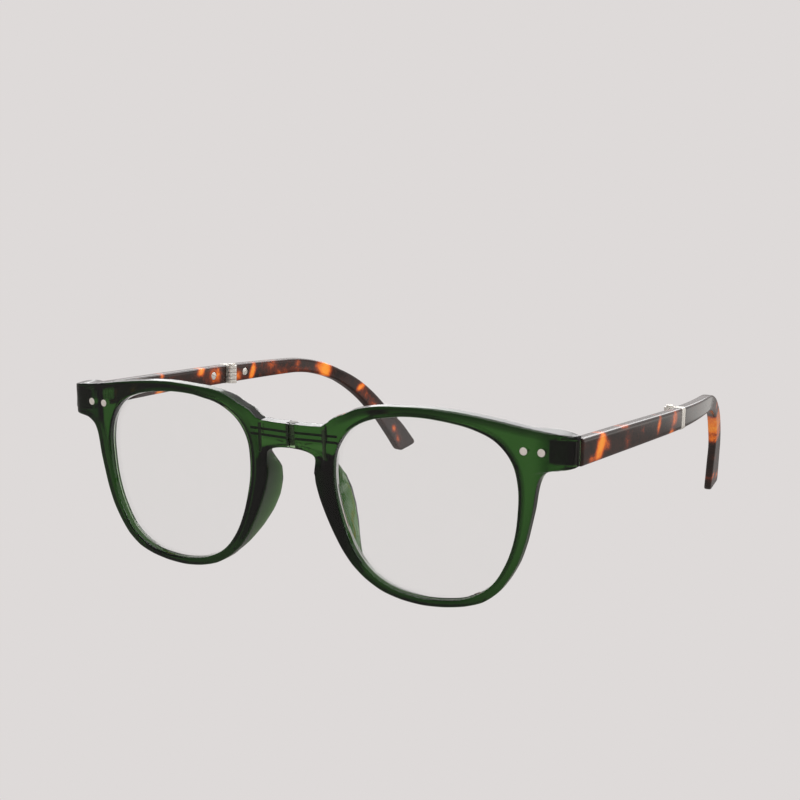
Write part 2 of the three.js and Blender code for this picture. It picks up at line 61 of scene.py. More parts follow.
# ------------------------------------------------------------------ dimensions (as in the CAD part)
WRAP = 0.0655
STAND_TILT = 0.0741
FRONT_TILT, LEAN_FROM = 0.0611, 8.5
RIM_DEPTH = 3.15
EDGE_IN, EDGE_FRONT, EDGE_OUT = 0.5, 0.6, 0.75
SEAM, PAST = 0.12, -0.6
APERTURE_X = 32.74
APERTURE_R = [25.57, 24.75, 22.57, 19.34, 16.69, 15.01, 14.15, 13.83, 14.05, 14.68, 16.12, 17.81, 19.49, 20.46,
              20.62, 20.97, 21.59, 22.89, 24.72, 26.5, 27.47, 28.09, 28.92, 29.93, 30.01, 28.72, 27.32, 26.15]
GROOVE = (1.25, 1.9, 2.55, 0.75)
CORNER_R, END_X = 4.15, 71.75
OUTLINE = [
    (357.4, 62.40, -1.20), (1.2, 62.86, 0.91), (3.0, 63.86, 3.02), (5.0, 66.20, 4.55), (6.8, 69.20, 5.10),
    (8.5, 71.75, 5.40), (11.0, 71.75, 7.60), (13.5, 71.75, 9.80), (16.0, 71.75, 11.90), (18.0, 68.72, 12.67),
    (20.5, 64.78, 13.05), (24.0, 59.81, 13.67), (28.9, 54.24, 14.55), (38.8, 48.86, 15.26),
    (53.1, 43.14, 15.86), (69.8, 37.97, 16.16), (86.7, 33.51, 16.13), (103.9, 29.07, 15.98),
    (119.4, 25.04, 15.79), (130.1, 21.32, 15.34), (139.1, 17.80, 14.54), (146.9, 14.83, 13.19),
    (152.5, 11.87, 12.04), (155.3, 10.35, 10.85), (157.4, 8.70, 9.72), (159.5, 5.00, 9.62),
    (161.5, PAST, 9.72), (164.0, PAST, 7.00), (166.5, PAST, 4.00), (168.8, 2.60, 3.75), (171.5, 5.20, 3.20),
    (174.8, 6.75, 2.30), (179.3, 6.94, 0.62), (184.0, 6.75, -1.40), (189.7, 6.97, -3.92), (197.6, 7.92, -7.36),
    (207.1, 9.39, -11.09), (216.8, 11.20, -14.92), (227.1, 13.56, -19.09), (236.2, 16.26, -22.60),
    (244.4, 19.74, -25.62), (253.5, 24.12, -28.06), (263.5, 29.12, -29.47), (273.7, 34.39, -30.08),
    (283.9, 39.85, -29.88), (293.3, 45.09, -29.03), (301.3, 49.61, -27.48), (308.8, 53.32, -24.75),
    (316.4, 56.15, -21.10), (324.7, 58.34, -17.20), (333.7, 59.93, -12.76), (342.5, 61.06, -8.27),
    (349.9, 61.84, -4.84),
]
SHARP = {8, 24, 26, 28}                    # outline stations that are corners
PAD = [(4.4, RIM_DEPTH, 0), (2.9, 3.8, 0.8), (1.5, 4.7, 1.5), (-1.0, 6.8, 2.0), (-4.0, 9.0, 2.1), (-8.0, 10.3, 1.9),
       (-12.0, 10.5, 1.45), (-15.5, 9.6, 1.0), (-19.0, 7.6, 0.6), (-22.5, 4.9, 0.2), (-24.5, RIM_DEPTH, 0)]
CREASE_U = 9.35                            # where the bridge meets the rim

TEMPLE_Y, TEMPLE_Z, TEMPLE_SLOPE = 7.4548, 8.3604, -0.1276
BEND_START, BEND_LENGTH, BEND_ANGLE = 88.24, 43.73, 0.9063
TEMPLE_END, END_SLANT = 148.0, 0.5
BUTT, TEMPLE_START, MID, PLATE = 0.85, 1.05, 61.53, 1.2
INNER_X, BOW, BOW_START, BOW_LENGTH = 68.87, 0.0023, 48.5, 53.9
HALF_HEIGHT = [(0, 3.1), (30, 2.9), (61.53, 2.63), (90, 2.16), (109, 1.88), (122, 2.5), (134, 3.3), (148, 4.0)]
THICK = [(0, 3.0), (63, 2.9), (110, 2.8), (148, 2.5)]
BRIDGE_D, BRIDGE_R, BRIDGE_Z = 2.35, 1.0, (4.25, 9.75)
PRONG_Z, PRONG = (5.85, 7.3), 0.25
PIN_R, HINGE_R, KNUCKLE_GAP = 0.45, 1.4, 0.12
END_S, END_A = 1.96, -1.97
MID_A = -0.8
SCREW_AT = 7.0
RIVETS = [(59.8, 8.48), (64.0, 8.48)]

# ------------------------------------------------------------------ coordinates
_ct, _st = math.cos(STAND_TILT), math.sin(STAND_TILT)


def _stand(p):
    p = np.asarray(p, float)
    return np.stack([p[..., 0], p[..., 1] * _ct - p[..., 2] * _st, p[..., 1] * _st + p[..., 2] * _ct], -1)


_pin_lo, _pin_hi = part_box("bridge_pin")
_pin = (np.array(_pin_lo) + np.array(_pin_hi)) * 500.0
OFFSET = _pin - _stand([0, BRIDGE_D, (BRIDGE_Z[0] + 0.15 + BRIDGE_Z[1] - 0.1) / 2])


def world(p):
    """helper millimetres -> frame metres"""
    return (_stand(p) + OFFSET) / 1000.0


def half(u, d, z):
    u, d, z = np.broadcast_arrays(np.asarray(u, float), np.asarray(d, float), np.asarray(z, float))
    return np.stack([u * math.cos(WRAP) - d * math.sin(WRAP), u * math.sin(WRAP) + d * math.cos(WRAP) + FRONT_TILT * (z - LEAN_FROM), z], -1)


FACING = np.array([math.sin(WRAP), -math.cos(WRAP), FRONT_TILT * math.cos(WRAP)])
FACING /= np.linalg.norm(FACING)


def smooth(t):
    q = np.clip(t, 0, 1)
    return q * q * (3 - 2 * q)


def table(rows, t):
    rows = sorted(rows)
    x = [r[0] for r in rows]
    return [np.interp(t, x, [r[k] for r in rows]) for k in range(1, len(rows[0]))]


def aperture_radius(deg):
    n = len(APERTURE_R)
    f = (deg % 360) / 360 * n
    i = int(math.floor(f))
    t = f - i
    a, b, c, d = (APERTURE_R[(i + k + n) % n] for k in (-1, 0, 1, 2))
    return 0.5 * (2 * b + (c - a) * t + (2 * a - 5 * b + 4 * c - d) * t * t + (3 * b - a - 3 * c + d) * t ** 3)


STEP = 0.25
_path = [(TEMPLE_Y, TEMPLE_Z)]


def path_angle(s):
    return TEMPLE_SLOPE - BEND_ANGLE * min(1.0, max(0.0, (s - BEND_START) / BEND_LENGTH))


_s = STEP
while _s <= TEMPLE_END + 4:
    _a = path_angle(_s - STEP / 2)
    _path.append((_path[-1][0] + STEP * math.cos(_a), _path[-1][1] + STEP * math.sin(_a)))
    _s += STEP


def centre(s):
    if s < 0:
        return TEMPLE_Y + s * math.cos(TEMPLE_SLOPE), TEMPLE_Z + s * math.sin(TEMPLE_SLOPE)
    i = min(len(_path) - 2, int(s / STEP))
    f = s / STEP - i
    return tuple(_path[i][k] * (1 - f) + _path[i + 1][k] * f for k in (0, 1))


def inner_x(s):
    q = min(BOW_LENGTH, max(0.0, s - BOW_START))
    return INNER_X - BOW * q * q - 2 * BOW * BOW_LENGTH * max(0.0, s - BOW_START - BOW_LENGTH)


def temple(s, a, v):
    """along the temple, outward from its inner face, up from its centre line"""
    y, z = centre(s)
    t = path_angle(s)
    return np.array([inner_x(s) + a, y - v * math.sin(t), z + v * math.cos(t)])


AXIS = np.array([0, -math.sin(TEMPLE_SLOPE), math.cos(TEMPLE_SLOPE)])
END_AT = temple(END_S, END_A, 0)
MID_AT = temple(MID, MID_A, 0)

# ------------------------------------------------------------------ mesh building


class Shell:
    """points and faces of one or more closed surfaces, in helper millimetres"""

    def __init__(self):
        self.v, self.f = [], []

    def add(self, pts, faces):
        k = sum(len(a) for a in self.v)
        self.v.append(np.asarray(pts, float).reshape(-1, 3))
        self.f += [tuple(i + k for i in q) for q in faces]
        return self

    def points(self):
        return np.concatenate(self.v)


def rings(list_, closed):
    """quads through rings of points, joined end to start or capped by fans"""
    R = [np.asarray(r, float) for r in list_]
    n, m = len(R), len(R[0])
    pts = np.concatenate(R)
    faces = []
    for i in range(n if closed else n - 1):
        for j in range(m):
            a, b = i * m + j, i * m + (j + 1) % m
            c, d = ((i + 1) % n) * m + j, ((i + 1) % n) * m + (j + 1) % m
            faces.append((a, b, d, c))
    if not closed:
        faces.append(tuple(reversed(range(m))))
        faces.append(tuple((n - 1) * m + j for j in range(m)))
    return pts, faces


def turned(profile, at, direction, seg=48):
    """profile of (radius, height) turned about direction through at"""
    d = np.asarray(direction, float)
    d = d / np.linalg.norm(d)
    x = np.cross(d, [0, 0, 1.0] if abs(d[2]) < 0.9 else [1.0, 0, 0])
    x /= np.linalg.norm(x)
    y = np.cross(d, x)
    ang = np.arange(seg) / seg * 2 * math.pi
    list_ = []
    for r, h in profile:
        list_.append(np.asarray(at) + d * h + max(r, 1e-4) * (np.cos(ang)[:, None] * x + np.sin(ang)[:, None] * y))
    return rings(list_, False)


def drum(at, direction, lo, hi, r, chamfer=0.1, seg=48):
    """short cylinder with softened rims"""
    c = chamfer
    prof = [(r - c, lo), (r - 0.3 * c, lo + 0.1 * c), (r - 0.08 * c, lo + 0.4 * c), (r, lo + c), (r, hi - c), (r - 0.08 * c, hi - 0.4 * c), (r - 0.3 * c, hi - 0.1 * c), (r - c, hi)]
    return turned(prof, at, direction, seg)


def block(map_, a, b, c, soft=0.0):
    """box in the coordinates of map_, its edges softened"""
    r = soft
    if r <= 0:
        ring = lambda t: [map_(t, b[0], c[0]), map_(t, b[1], c[0]), map_(t, b[1], c[1]), map_(t, b[0], c[1])]
        return rings([ring(a[0]), ring(a[1])], False)

    def ring(t, k):
        out = []
        rr = r
        for cb, cc, q in ((b[1] - rr, c[1] - rr, 0), (b[0] + rr, c[1] - rr, 90), (b[0] + rr, c[0] + rr, 180), (b[1] - rr, c[0] + rr, 270)):
            for w in (0, 30, 60, 90):
                th = math.radians(q + w)
                out.append(map_(t, cb + (rr - k) * math.cos(th), cc + (rr - k) * math.sin(th)))
        return out
    return rings([ring(a[0], r), ring(a[0] + 0.13 * r, 0.5 * r), ring(a[0] + 0.5 * r, 0.13 * r), ring(a[0] + r, 0), ring(a[1] - r, 0), ring(a[1] - 0.5 * r, 0.13 * r), ring(a[1] - 0.13 * r, 0.5 * r), ring(a[1], r)], False)


def make(name, shell, side="left", angle=32.0, attributes=None):
    """a mesh object from a Shell; the right side is the left one mirrored"""
    p = shell.points().copy()
    if side == "right":
        p[:, 0] *= -1
    me = bpy.data.meshes.new(name)
    me.from_pydata([tuple(q) for q in world(p)], [], shell.f)
    me.validate()
    bm = bmesh.new()
    bm.from_mesh(me)
    bmesh.ops.recalc_face_normals(bm, faces=bm.faces)
    bm.to_mesh(me)
    bm.free()
    if attributes:
        for key, (kind, values) in attributes.items():
            at = me.attributes.new(key, kind, "POINT")
            at.data.foreach_set("value" if kind == "FLOAT" else "vector", np.asarray(values, np.float32).ravel())
    ob = bpy.data.objects.new(name, me)
    bpy.context.scene.collection.objects.link(ob)
    return ob


def apply_modifiers(ob):
    dg = bpy.context.evaluated_depsgraph_get()
    ev = ob.evaluated_get(dg)
    me = bpy.data.meshes.new_from_object(ev, preserve_all_data_layers=True, depsgraph=dg)
    old = ob.data
    ob.modifiers.clear()
    ob.data = me
    bpy.data.meshes.remove(old)
    return ob


def cut(ob, cutters, side, operation="DIFFERENCE"):
    """takes closed cutters out of ob one after the other"""
    for k, (pts, faces) in enumerate(cutters):
        tool = make("cutter", Shell().add(pts, faces), side)
        m = ob.modifiers.new("b", "BOOLEAN")
        m.operation = operation
        m.solver = "EXACT"
        m.object = tool
        apply_modifiers(ob)
        bpy.data.objects.remove(tool)
    return ob


def shade(ob, angle=32.0):
    """smooth, with sharp edges where the surface turns by more than angle"""
    me = ob.data
    bm = bmesh.new()
    bm.from_mesh(me)
    bmesh.ops.remove_doubles(bm, verts=bm.verts, dist=2e-7)
    bmesh.ops.dissolve_degenerate(bm, dist=1e-7, edges=bm.edges)
    lim = math.radians(angle)
    for f in bm.faces:
        f.smooth = True
    for e in bm.edges:
        e.smooth = len(e.link_faces) == 2 and e.calc_face_angle(0.0) < lim
    bm.to_mesh(me)
    bm.free()
    return ob


# ------------------------------------------------------------------ node materials


def new_material(name):
    m = bpy.data.materials.new(name)
    m.use_nodes = True
    nt = m.node_tree
    nt.nodes.clear()
    out = nt.nodes.new("ShaderNodeOutputMaterial")
    p = nt.nodes.new("ShaderNodeBsdfPrincipled")
    nt.links.new(p.outputs["BSDF"], out.inputs["Surface"])
    return m, nt, p, out


def noise(nt, vector, scale, detail=3.0, rough=0.55, distortion=0.0):
    n = nt.nodes.new("ShaderNodeTexNoise")
    n.inputs["Scale"].default_value = scale
    n.inputs["Detail"].default_value = detail
    n.inputs["Roughness"].default_value = rough
    n.inputs["Distortion"].default_value = distortion
    nt.links.new(vector, n.inputs["Vector"])
    return n


def ramp(nt, fac, stops):
    r = nt.nodes.new("ShaderNodeValToRGB")
    e = r.color_ramp.elements
    while len(e) < len(stops):
        e.new(0.5)
    for k, (pos, col) in enumerate(stops):
        e[k].position = pos
        e[k].color = (*col, 1.0) if len(col) == 3 else col
    nt.links.new(fac, r.inputs["Fac"])
    return r


def math_node(nt, op, a, b=None, c=None):
    n = nt.nodes.new("ShaderNodeMath")
    n.operation = op
    for k, v in enumerate((a, b, c)):
        if v is None:
            continue
        if hasattr(v, "is_output"):
            nt.links.new(v, n.inputs[k])
        else:
            n.inputs[k].default_value = v
    return n.outputs[0]


def map_range(nt, value, lo, hi, to_lo, to_hi):
    n = nt.nodes.new("ShaderNodeMapRange")
    n.inputs["From Min"].default_value = lo
    n.inputs["From Max"].default_value = hi
    n.inputs["To Min"].default_value = to_lo
    n.inputs["To Max"].default_value = to_hi
    nt.links.new(value, n.inputs["Value"])
    return n.outputs["Result"]


def bump(nt, height, strength, distance):
    b = nt.nodes.new("ShaderNodeBump")
    b.inputs["Strength"].default_value = strength
    b.inputs["Distance"].default_value = distance
    nt.links.new(height, b.inputs["Height"])
    return b.outputs["Normal"]


def object_coordinates(nt, stretch=(1, 1, 1)):
    t = nt.nodes.new("ShaderNodeTexCoord")
    m = nt.nodes.new("ShaderNodeMapping")
    m.inputs["Scale"].default_value = stretch
    nt.links.new(t.outputs["Object"], m.inputs["Vector"])
    return m.outputs["Vector"]


def crystal_green():
    """moulded see-through dark green: clear body that swallows light along its depth, with painted shade darkening it
    along the outer edge and parts of the aperture lip
    """
    m, nt, p, out = new_material("crystal_green")
    co = object_coordinates(nt)
    cloud = noise(nt, co, 260.0, 4.0, 0.6)
    speck = noise(nt, co, 1900.0, 2.0, 0.5)
    tint = ramp(nt, cloud.outputs["Fac"], [(0.30, (0.90, 0.96, 0.90)), (0.72, (0.99, 1.0, 0.985))])
    # painted shade: where the point attribute read here is high, the green is darkened towards the colour below, along
    # the outer edge, the end piece and parts of the aperture lip
    at = nt.nodes.new("ShaderNodeAttribute")
    at.attribute_name = "painted_shade"
    deep = ramp(nt, at.outputs["Fac"], [(0.0, (1.0, 1.0, 1.0)), (1.0, (0.22, 0.28, 0.19))])
    both = nt.nodes.new("ShaderNodeVectorMath")
    both.operation = "MULTIPLY"
    nt.links.new(tint.outputs["Color"], both.inputs[0])
    nt.links.new(deep.outputs["Color"], both.inputs[1])
    nt.links.new(both.outputs["Vector"], p.inputs["Base Color"])
    nt.links.new(map_range(nt, cloud.outputs["Fac"], 0.3, 0.7, 0.035, 0.085), p.inputs["Roughness"])
    nt.links.new(bump(nt, speck.outputs["Fac"], 0.06, 0.00006), p.inputs["Normal"])
    p.inputs["IOR"].default_value = 1.49
    p.inputs["Transmission Weight"].default_value = 1.0
    v = nt.nodes.new("ShaderNodeVolumeAbsorption")
    v.inputs["Color"].default_value = (0.27, 0.54, 0.15, 1.0)
    v.inputs["Density"].default_value = 1430.0
    nt.links.new(v.outputs["Volume"], out.inputs["Volume"])
    return m


def tortoise():
    """glossy tortoiseshell: near black brown, red brown halos and amber patches that run through it"""
    m, nt, p, out = new_material("tortoise")
    at = nt.nodes.new("ShaderNodeAttribute")
    at.attribute_name = "amber"
    co = nt.nodes.new("ShaderNodeAttribute")
    co.attribute_name = "path"
    big = noise(nt, co.outputs["Vector"], 0.30, 4.0, 0.6, 0.6)
    fine = noise(nt, co.outputs["Vector"], 1.3, 3.0, 0.6, 0.3)
    micro = noise(nt, co.outputs["Vector"], 14.0, 2.0, 0.5)
    wob = math_node(nt, "MULTIPLY_ADD", big.outputs["Fac"], 0.80, -0.40)
    wob2 = math_node(nt, "MULTIPLY_ADD", fine.outputs["Fac"], 0.36, -0.18)
    level = math_node(nt, "ADD", math_node(nt, "ADD", at.outputs["Fac"], wob), wob2)
    col = ramp(nt, level, [(0.00, (0.014, 0.008, 0.006)), (0.20, (0.032, 0.012, 0.008)), (0.38, (0.12, 0.022, 0.008)),
                           (0.55, (0.45, 0.075, 0.008)), (0.74, (0.90, 0.20, 0.012)), (1.0, (1.0, 0.34, 0.03))])
    nt.links.new(col.outputs["Color"], p.inputs["Base Color"])
    nt.links.new(map_range(nt, fine.outputs["Fac"], 0.3, 0.7, 0.07, 0.14), p.inputs["Roughness"])
    nt.links.new(bump(nt, micro.outputs["Fac"], 0.05, 0.00004), p.inputs["Normal"])
    p.inputs["IOR"].default_value = 1.49
    return m


def satin_metal(name, base, dark, lo, hi, stretch):
    m, nt, p, out = new_material(name)
    co = object_coordinates(nt, stretch)
    a = noise(nt, co, 900.0, 4.0, 0.6)
    b = noise(nt, co, 5200.0, 3.0, 0.6)
    col = ramp(nt, a.outputs["Fac"], [(0.3, dark), (0.7, base)])
    nt.links.new(col.outputs["Color"], p.inputs["Base Color"])
    nt.links.new(map_range(nt, a.outputs["Fac"], 0.3, 0.7, lo, hi), p.inputs["Roughness"])
    nt.links.new(bump(nt, b.outputs["Fac"], 0.035, 0.00003), p.inputs["Normal"])
    p.inputs["Metallic"].default_value = 1.0
    return m


def clear_glass():
    m, nt, p, out = new_material("clear_lens")
    co = object_coordinates(nt)
    a = noise(nt, co, 300.0, 3.0, 0.5)
    tint = ramp(nt, a.outputs["Fac"], [(0.3, (0.988, 0.994, 0.990)), (0.7, (0.996, 0.999, 0.997))])
    nt.links.new(tint.outputs["Color"], p.inputs["Base Color"])
    p.inputs["Roughness"].default_value = 0.0
    p.inputs["IOR"].default_value = 1.49
    p.inputs["Transmission Weight"].default_value = 1.0
    return m


GREEN = crystal_green()
TORTOISE = tortoise()
STEEL = satin_metal("satin_nickel", (0.90, 0.865, 0.80), (0.74, 0.71, 0.655), 0.20, 0.34, (1.0, 1.0, 0.18))
STEEL.node_tree.nodes["Principled BSDF"].inputs["Metallic"].default_value = 0.6
RIVET = satin_metal("rivet_nickel", (0.74, 0.69, 0.63), (0.62, 0.58, 0.53), 0.30, 0.44, (1, 1, 1))
RIVET.node_tree.nodes["Principled BSDF"].inputs["Metallic"].default_value = 0.15
DARK = satin_metal("dark_nickel", (0.085, 0.082, 0.078), (0.045, 0.044, 0.042), 0.35, 0.5, (1, 1, 1))
BRIDGE = satin_metal("bridge_nickel", (0.19, 0.185, 0.17), (0.12, 0.117, 0.108), 0.35, 0.5, (1, 1, 1))
CLEAR = clear_glass()


def finish_piece(ob, material, body, nodes):
    ob.data.materials.clear()
    ob.data.materials.append(material)
    for q in ob.data.polygons:
        q.material_index = 0
    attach(ob, body)
    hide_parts(*nodes)
    return ob


# ------------------------------------------------------------------ front half


def dense_outline(step=0.9):
    n = len(OUTLINE)
    pts = np.array(OUTLINE, float)
    deg = pts[:, 0].copy()
    deg = np.where(deg > 350, deg - 360, deg)
    for i in range(1, n):
        if deg[i] < deg[i - 1] - 180:
            deg[i:] += 360
    deg = np.unwrap(np.radians(pts[:, 0])) * 180 / math.pi
    pts[:, 0] = deg
    out = []
    for i in range(n):
        def at(k):
            q = pts[k % n].copy()
            q[0] += 360.0 * (k // n)
            return q
        p1, p2 = at(i), at(i + 1)
        p0 = 2 * p1 - p2 if i % n in SHARP else at(i - 1)
        p3 = 2 * p2 - p1 if (i + 1) % n in SHARP else at(i + 2)
        a0 = APERTURE_X + aperture_radius(p1[0]) * math.cos(math.radians(p1[0]))
        length = max(math.hypot(*(p2 - p1)[1:]), abs(p2[0] - p1[0]) * math.pi / 180 * 24.0)
        m = max(2, int(round(length / step)))
        for k in range(m):
            t = k / m
            # blending in a quarter of the straight line on long spans keeps the curve from looping on uneven stations
            q = 0.5 * (2 * p1 + (p2 - p0) * t + (2 * p0 - 5 * p1 + 4 * p2 - p3) * t * t + (3 * p1 - p0 - 3 * p2 + p3) * t ** 3)
            lin = p1 * (1 - t) + p2 * t
            q = 0.75 * q + 0.25 * lin if length > 3.5 else q
            q[1] = min(q[1], END_X)
            out.append(q)
    return out


def resample(line, n, pinned=0.0):
    line = np.asarray(line, float)
    seg = np.linalg.norm(np.diff(line, axis=0), axis=1)
    cum = np.r_[0, np.cumsum(seg)]
    t = np.linspace(0, cum[-1], n)
    return np.stack([np.interp(t, cum, line[:, k]) for k in range(line.shape[1])], -1)


def curve_through(points, per=8):
    """Catmull-Rom through points, ends included"""
    P = np.asarray(points, float)
    P = np.concatenate([[2 * P[0] - P[1]], P, [2 * P[-1] - P[-2]]])
    out = []
    for i in range(1, len(P) - 2):
        for k in range(per):
            t = k / per
            a, b, c, d = P[i - 1], P[i], P[i + 1], P[i + 2]
            out.append(0.5 * (2 * b + (c - a) * t + (2 * a - 5 * b + 4 * c - d) * t * t + (3 * b - a - 3 * c + d) * t ** 3))
    out.append(P[-2])
    return np.array(out)


def rear_depth(u):
    return RIM_DEPTH + 2.05 * smooth((u - 61) / 6) + 0.5 * (1 - smooth((u - (CREASE_U - 0.55)) / 0.8))


def front_crease(u, z):
    """the bridge face stands a little behind the rim face"""
    return 0.45 * (1 - smooth((u - (CREASE_U - 0.6)) / 1.2)) * smooth((z + 1.5) / 4.0)


def half_section(deg, u1, z1):
    r = aperture_radius(deg)
    a = math.radians(deg)
    u0, z0 = APERTURE_X + r * math.cos(a), r * math.sin(a)
    w = math.hypot(u1 - u0, z1 - z0)
    du, dz = (u1 - u0) / w, (z1 - z0) / w
    at_seam = u1 < 1
    ro, ri = (0.12 if at_seam else EDGE_FRONT), EDGE_IN
    if 1 <= u1 < 3:
        ro = 0.12 + (EDGE_FRONT - 0.12) * (u1 - 1) / 2
    dd = deg % 360
    nasal = 166 < dd < 250
    deep, lean = [float(q) for q in table(PAD, z1)] if nasal else (RIM_DEPTH, 0.0)

    def front(p):
        u = u0 + p * du
        k = u - (END_X - CORNER_R)
        base = front_crease(u, z0 + p * dz)
        return base if k <= 0 else CORNER_R - math.sqrt(max(0.0, CORNER_R ** 2 - min(k, CORNER_R) ** 2))

    out = []
    for k in range(5):                                   # inner front edge
        t = math.radians(90 * k / 4)
        out.append((ri - ri * math.cos(t * 1.0) if False else ri * (1 - math.sin(t)), ri * (1 - math.cos(t)) if False else ri * (1 - math.cos(math.pi / 2 - t))))
    # from (0, ri) round to (ri, 0)
    out = [(ri * (1 - math.cos(t)), ri * (1 - math.sin(t))) for t in [math.radians(90 * k / 4) for k in range(5)]]
    out = [(p, d + (front(p) if k else 0.0) * 1.0) for k, (p, d) in enumerate(out)]
    NF = 22
    k_end = (u1 - (END_X - CORNER_R)) / CORNER_R
    if k_end > 0.05 and du > 0.2:
        p_arc = (END_X - CORNER_R - u0) / du
        flat = np.linspace(ri, p_arc, NF - 13 + 1)[1:]
        phi = math.asin(min(1.0, (u0 + (w - ro) * du - (END_X - CORNER_R)) / CORNER_R))
        arc = [(END_X - CORNER_R + CORNER_R * math.sin(phi * k / 13) - u0) / du for k in range(1, 14)]
        ps = [*flat, *arc][:NF]
    else:
        ps = list(np.linspace(ri, w - ro, NF + 1)[1:])
    out += [(p, front(p)) for p in ps]
    for k in range(1, 6):                                # outer front edge
        t = math.radians(90 * k / 5)
        p, d = w - ro + ro * math.sin(t), ro * (1 - math.cos(t))
        fp = front(p)
        out.append((p, min(max(fp, d if fp < 1e-6 else d * 0.25 + fp), 3.92)))
    bump_ = deep - RIM_DEPTH
    rw = rear_depth(u0 + w * du)
    last = out[-1]
    if bump_ > 0.02:
        thick = min(2.1, 0.42 * w)
        q = lambda d: w - lean * (d / deep) ** 1.3
        back = max(ri + 0.25, q(deep) - thick * 1.25)
        key = [last, (q(RIM_DEPTH * 0.62), RIM_DEPTH * 0.62), (q(deep - 0.85), deep - 0.85), (q(deep - 0.25) - 0.3, deep - 0.22),
               (q(deep) - thick * 0.5, deep), (q(deep) - thick * 0.9, deep - 0.35),
               (back, max(RIM_DEPTH + 0.04, RIM_DEPTH + bump_ * 0.45)), (ri + (back - ri) * 0.45, RIM_DEPTH + bump_ * 0.08 + 0.02), (ri, RIM_DEPTH)]
        line = curve_through(key)
        line[:, 0] = np.clip(line[:, 0], ri, w)
    else:
        e = EDGE_OUT
        line = [last, (w, max(last[1] + 0.02, rw - e))]
        for k in range(1, 6):
            t = math.radians(90 * k / 5)
            line.append((w - e + e * math.cos(t), rear_depth(u0 + (w - e) * du) * (k / 5) + rw * (1 - k / 5) - e + e * math.sin(t)))
        for p in np.linspace(w - e, ri, 24)[1:]:
            line.append((p, rear_depth(u0 + p * du)))
        line = np.array(line)
    NR = 40
    out += [tuple(v) for v in resample(line, NR + 1)[1:]]
    ri_d = out[-1][1]
    for k in range(1, 5):                                # inner rear edge
        t = math.radians(90 * k / 4)
        out.append((ri - ri * math.sin(t), ri_d - ri * (1 - math.cos(t))))
    out += [(0, GROOVE[2]), (GROOVE[3], GROOVE[1]), (0, GROOVE[0])]
    P = np.array(out)
    return half(u0 + P[:, 0] * du, P[:, 1], z0 + P[:, 0] * dz)


def straight(s, a, v):
    return np.array([INNER_X + a, TEMPLE_Y + s * math.cos(TEMPLE_SLOPE) - v * math.sin(TEMPLE_SLOPE),
                     TEMPLE_Z + s * math.sin(TEMPLE_SLOPE) + v * math.cos(TEMPLE_SLOPE)])


V3 = lambda x, y, z: np.array([x, y, z], float)
H3 = lambda u, d, z: half(u, d, z)
T3 = lambda a, s, v: temple(s, a, v)
S3 = lambda a, s, v: straight(s, a, v)


def cylinder(a, b, r, seg=32):
    a, b = np.asarray(a, float), np.asarray(b, float)
    return turned([(r, 0), (r, float(np.linalg.norm(b - a)))], a, b - a, seg)


def add_painted_shade(ob, side):
    """stores painted shade: how strongly each point is darkened, along the outer edge, along parts of the aperture lip
    and towards the end piece
    """
    me = ob.data
    n = len(me.vertices)
    co = np.zeros(n * 3, np.float32)
    me.vertices.foreach_get("co", co)
    co = co.reshape(-1, 3).astype(float) * 1000 - OFFSET
    y, z = co[:, 1] * _ct + co[:, 2] * _st, -co[:, 1] * _st + co[:, 2] * _ct
    u = np.abs(co[:, 0]) * math.cos(WRAP) + (y - FRONT_TILT * (z - LEAN_FROM)) * math.sin(WRAP)
    line = np.array([(q[1], q[2], q[0] % 360) for q in dense_outline()])
    reach = (u[:, None] - line[None, :, 0]) ** 2 + (z[:, None] - line[None, :, 1]) ** 2
    near = np.argmin(reach, axis=1)
    far = np.sqrt(reach[np.arange(n), near])
    # painted shade: the outer edge band is full strength on the right half and faint on the left
    rim = 1.0 if side == "right" else 0.05
    weight = np.interp(line[near, 2], [0, 12, 24, 144, 158, 215, 235, 290, 318, 360], [rim, rim, 1, 1, 0, 0, 1, 1, max(rim, 0.5), rim])
    turn = np.arange(0, 361, 3)
    deg = np.degrees(np.arctan2(z, u - APERTURE_X)) % 360
    inset = np.hypot(u - APERTURE_X, z) - np.interp(deg, turn, [aperture_radius(t % 360) for t in turn])
    # painted shade along the aperture lip, on a different arc for each half
    if side == "left":
        lip = np.interp(deg, [0, 25, 55, 280, 320, 360], [1, 1, 0, 0, 1, 1]) * (1 - smooth((inset - 0.55) / 0.6))
    else:
        lip = np.interp(deg, [140, 165, 235, 265], [0, 1, 1, 0]) * (1 - smooth((inset - 1.3) / 1.0))
    if "painted_shade" in me.attributes:
        me.attributes.remove(me.attributes["painted_shade"])
    at = me.attributes.new("painted_shade", "FLOAT", "POINT")
    at.data.foreach_set("value", np.maximum.reduce([weight * (1 - smooth((far - 1.3) / 1.1)), smooth((u - 68.4) / 1.6), lip]).astype(np.float32))


def front_half(side):
    list_ = [half_section(*q) for q in dense_outline()]
    ob = make(f"front_plastic_{side}", Shell().add(*rings(list_, True)), side)
    cutters = [
        block(S3, (-4.9, 8), (BUTT, 8), (-7, 7)),
        block(S3, (-4.05, 2.25), (-1.05, 2), (-2.7, 2.7)),
        cylinder(END_AT - AXIS * 3.0, END_AT + AXIS * 3.0, 1.72),
        block(V3, (-6, SEAM), (-2, 8), (2, 12)),
        block(V3, (-6, 1.2), (BRIDGE_D - BRIDGE_R - 0.2, 8), (2, 12)),
    ]
    for u, z in RIVETS:
        cutters.append(cylinder(half(u, 0, z) + FACING, half(u, 0, z) - 2.35 * FACING, 0.95))
    cut(ob, cutters, side)
    shade(ob, 30.0)
    add_painted_shade(ob, side)
    return finish_piece(ob, GREEN, f"front_{side}", [f"front_half_{side}"])


# ------------------------------------------------------------------ lens


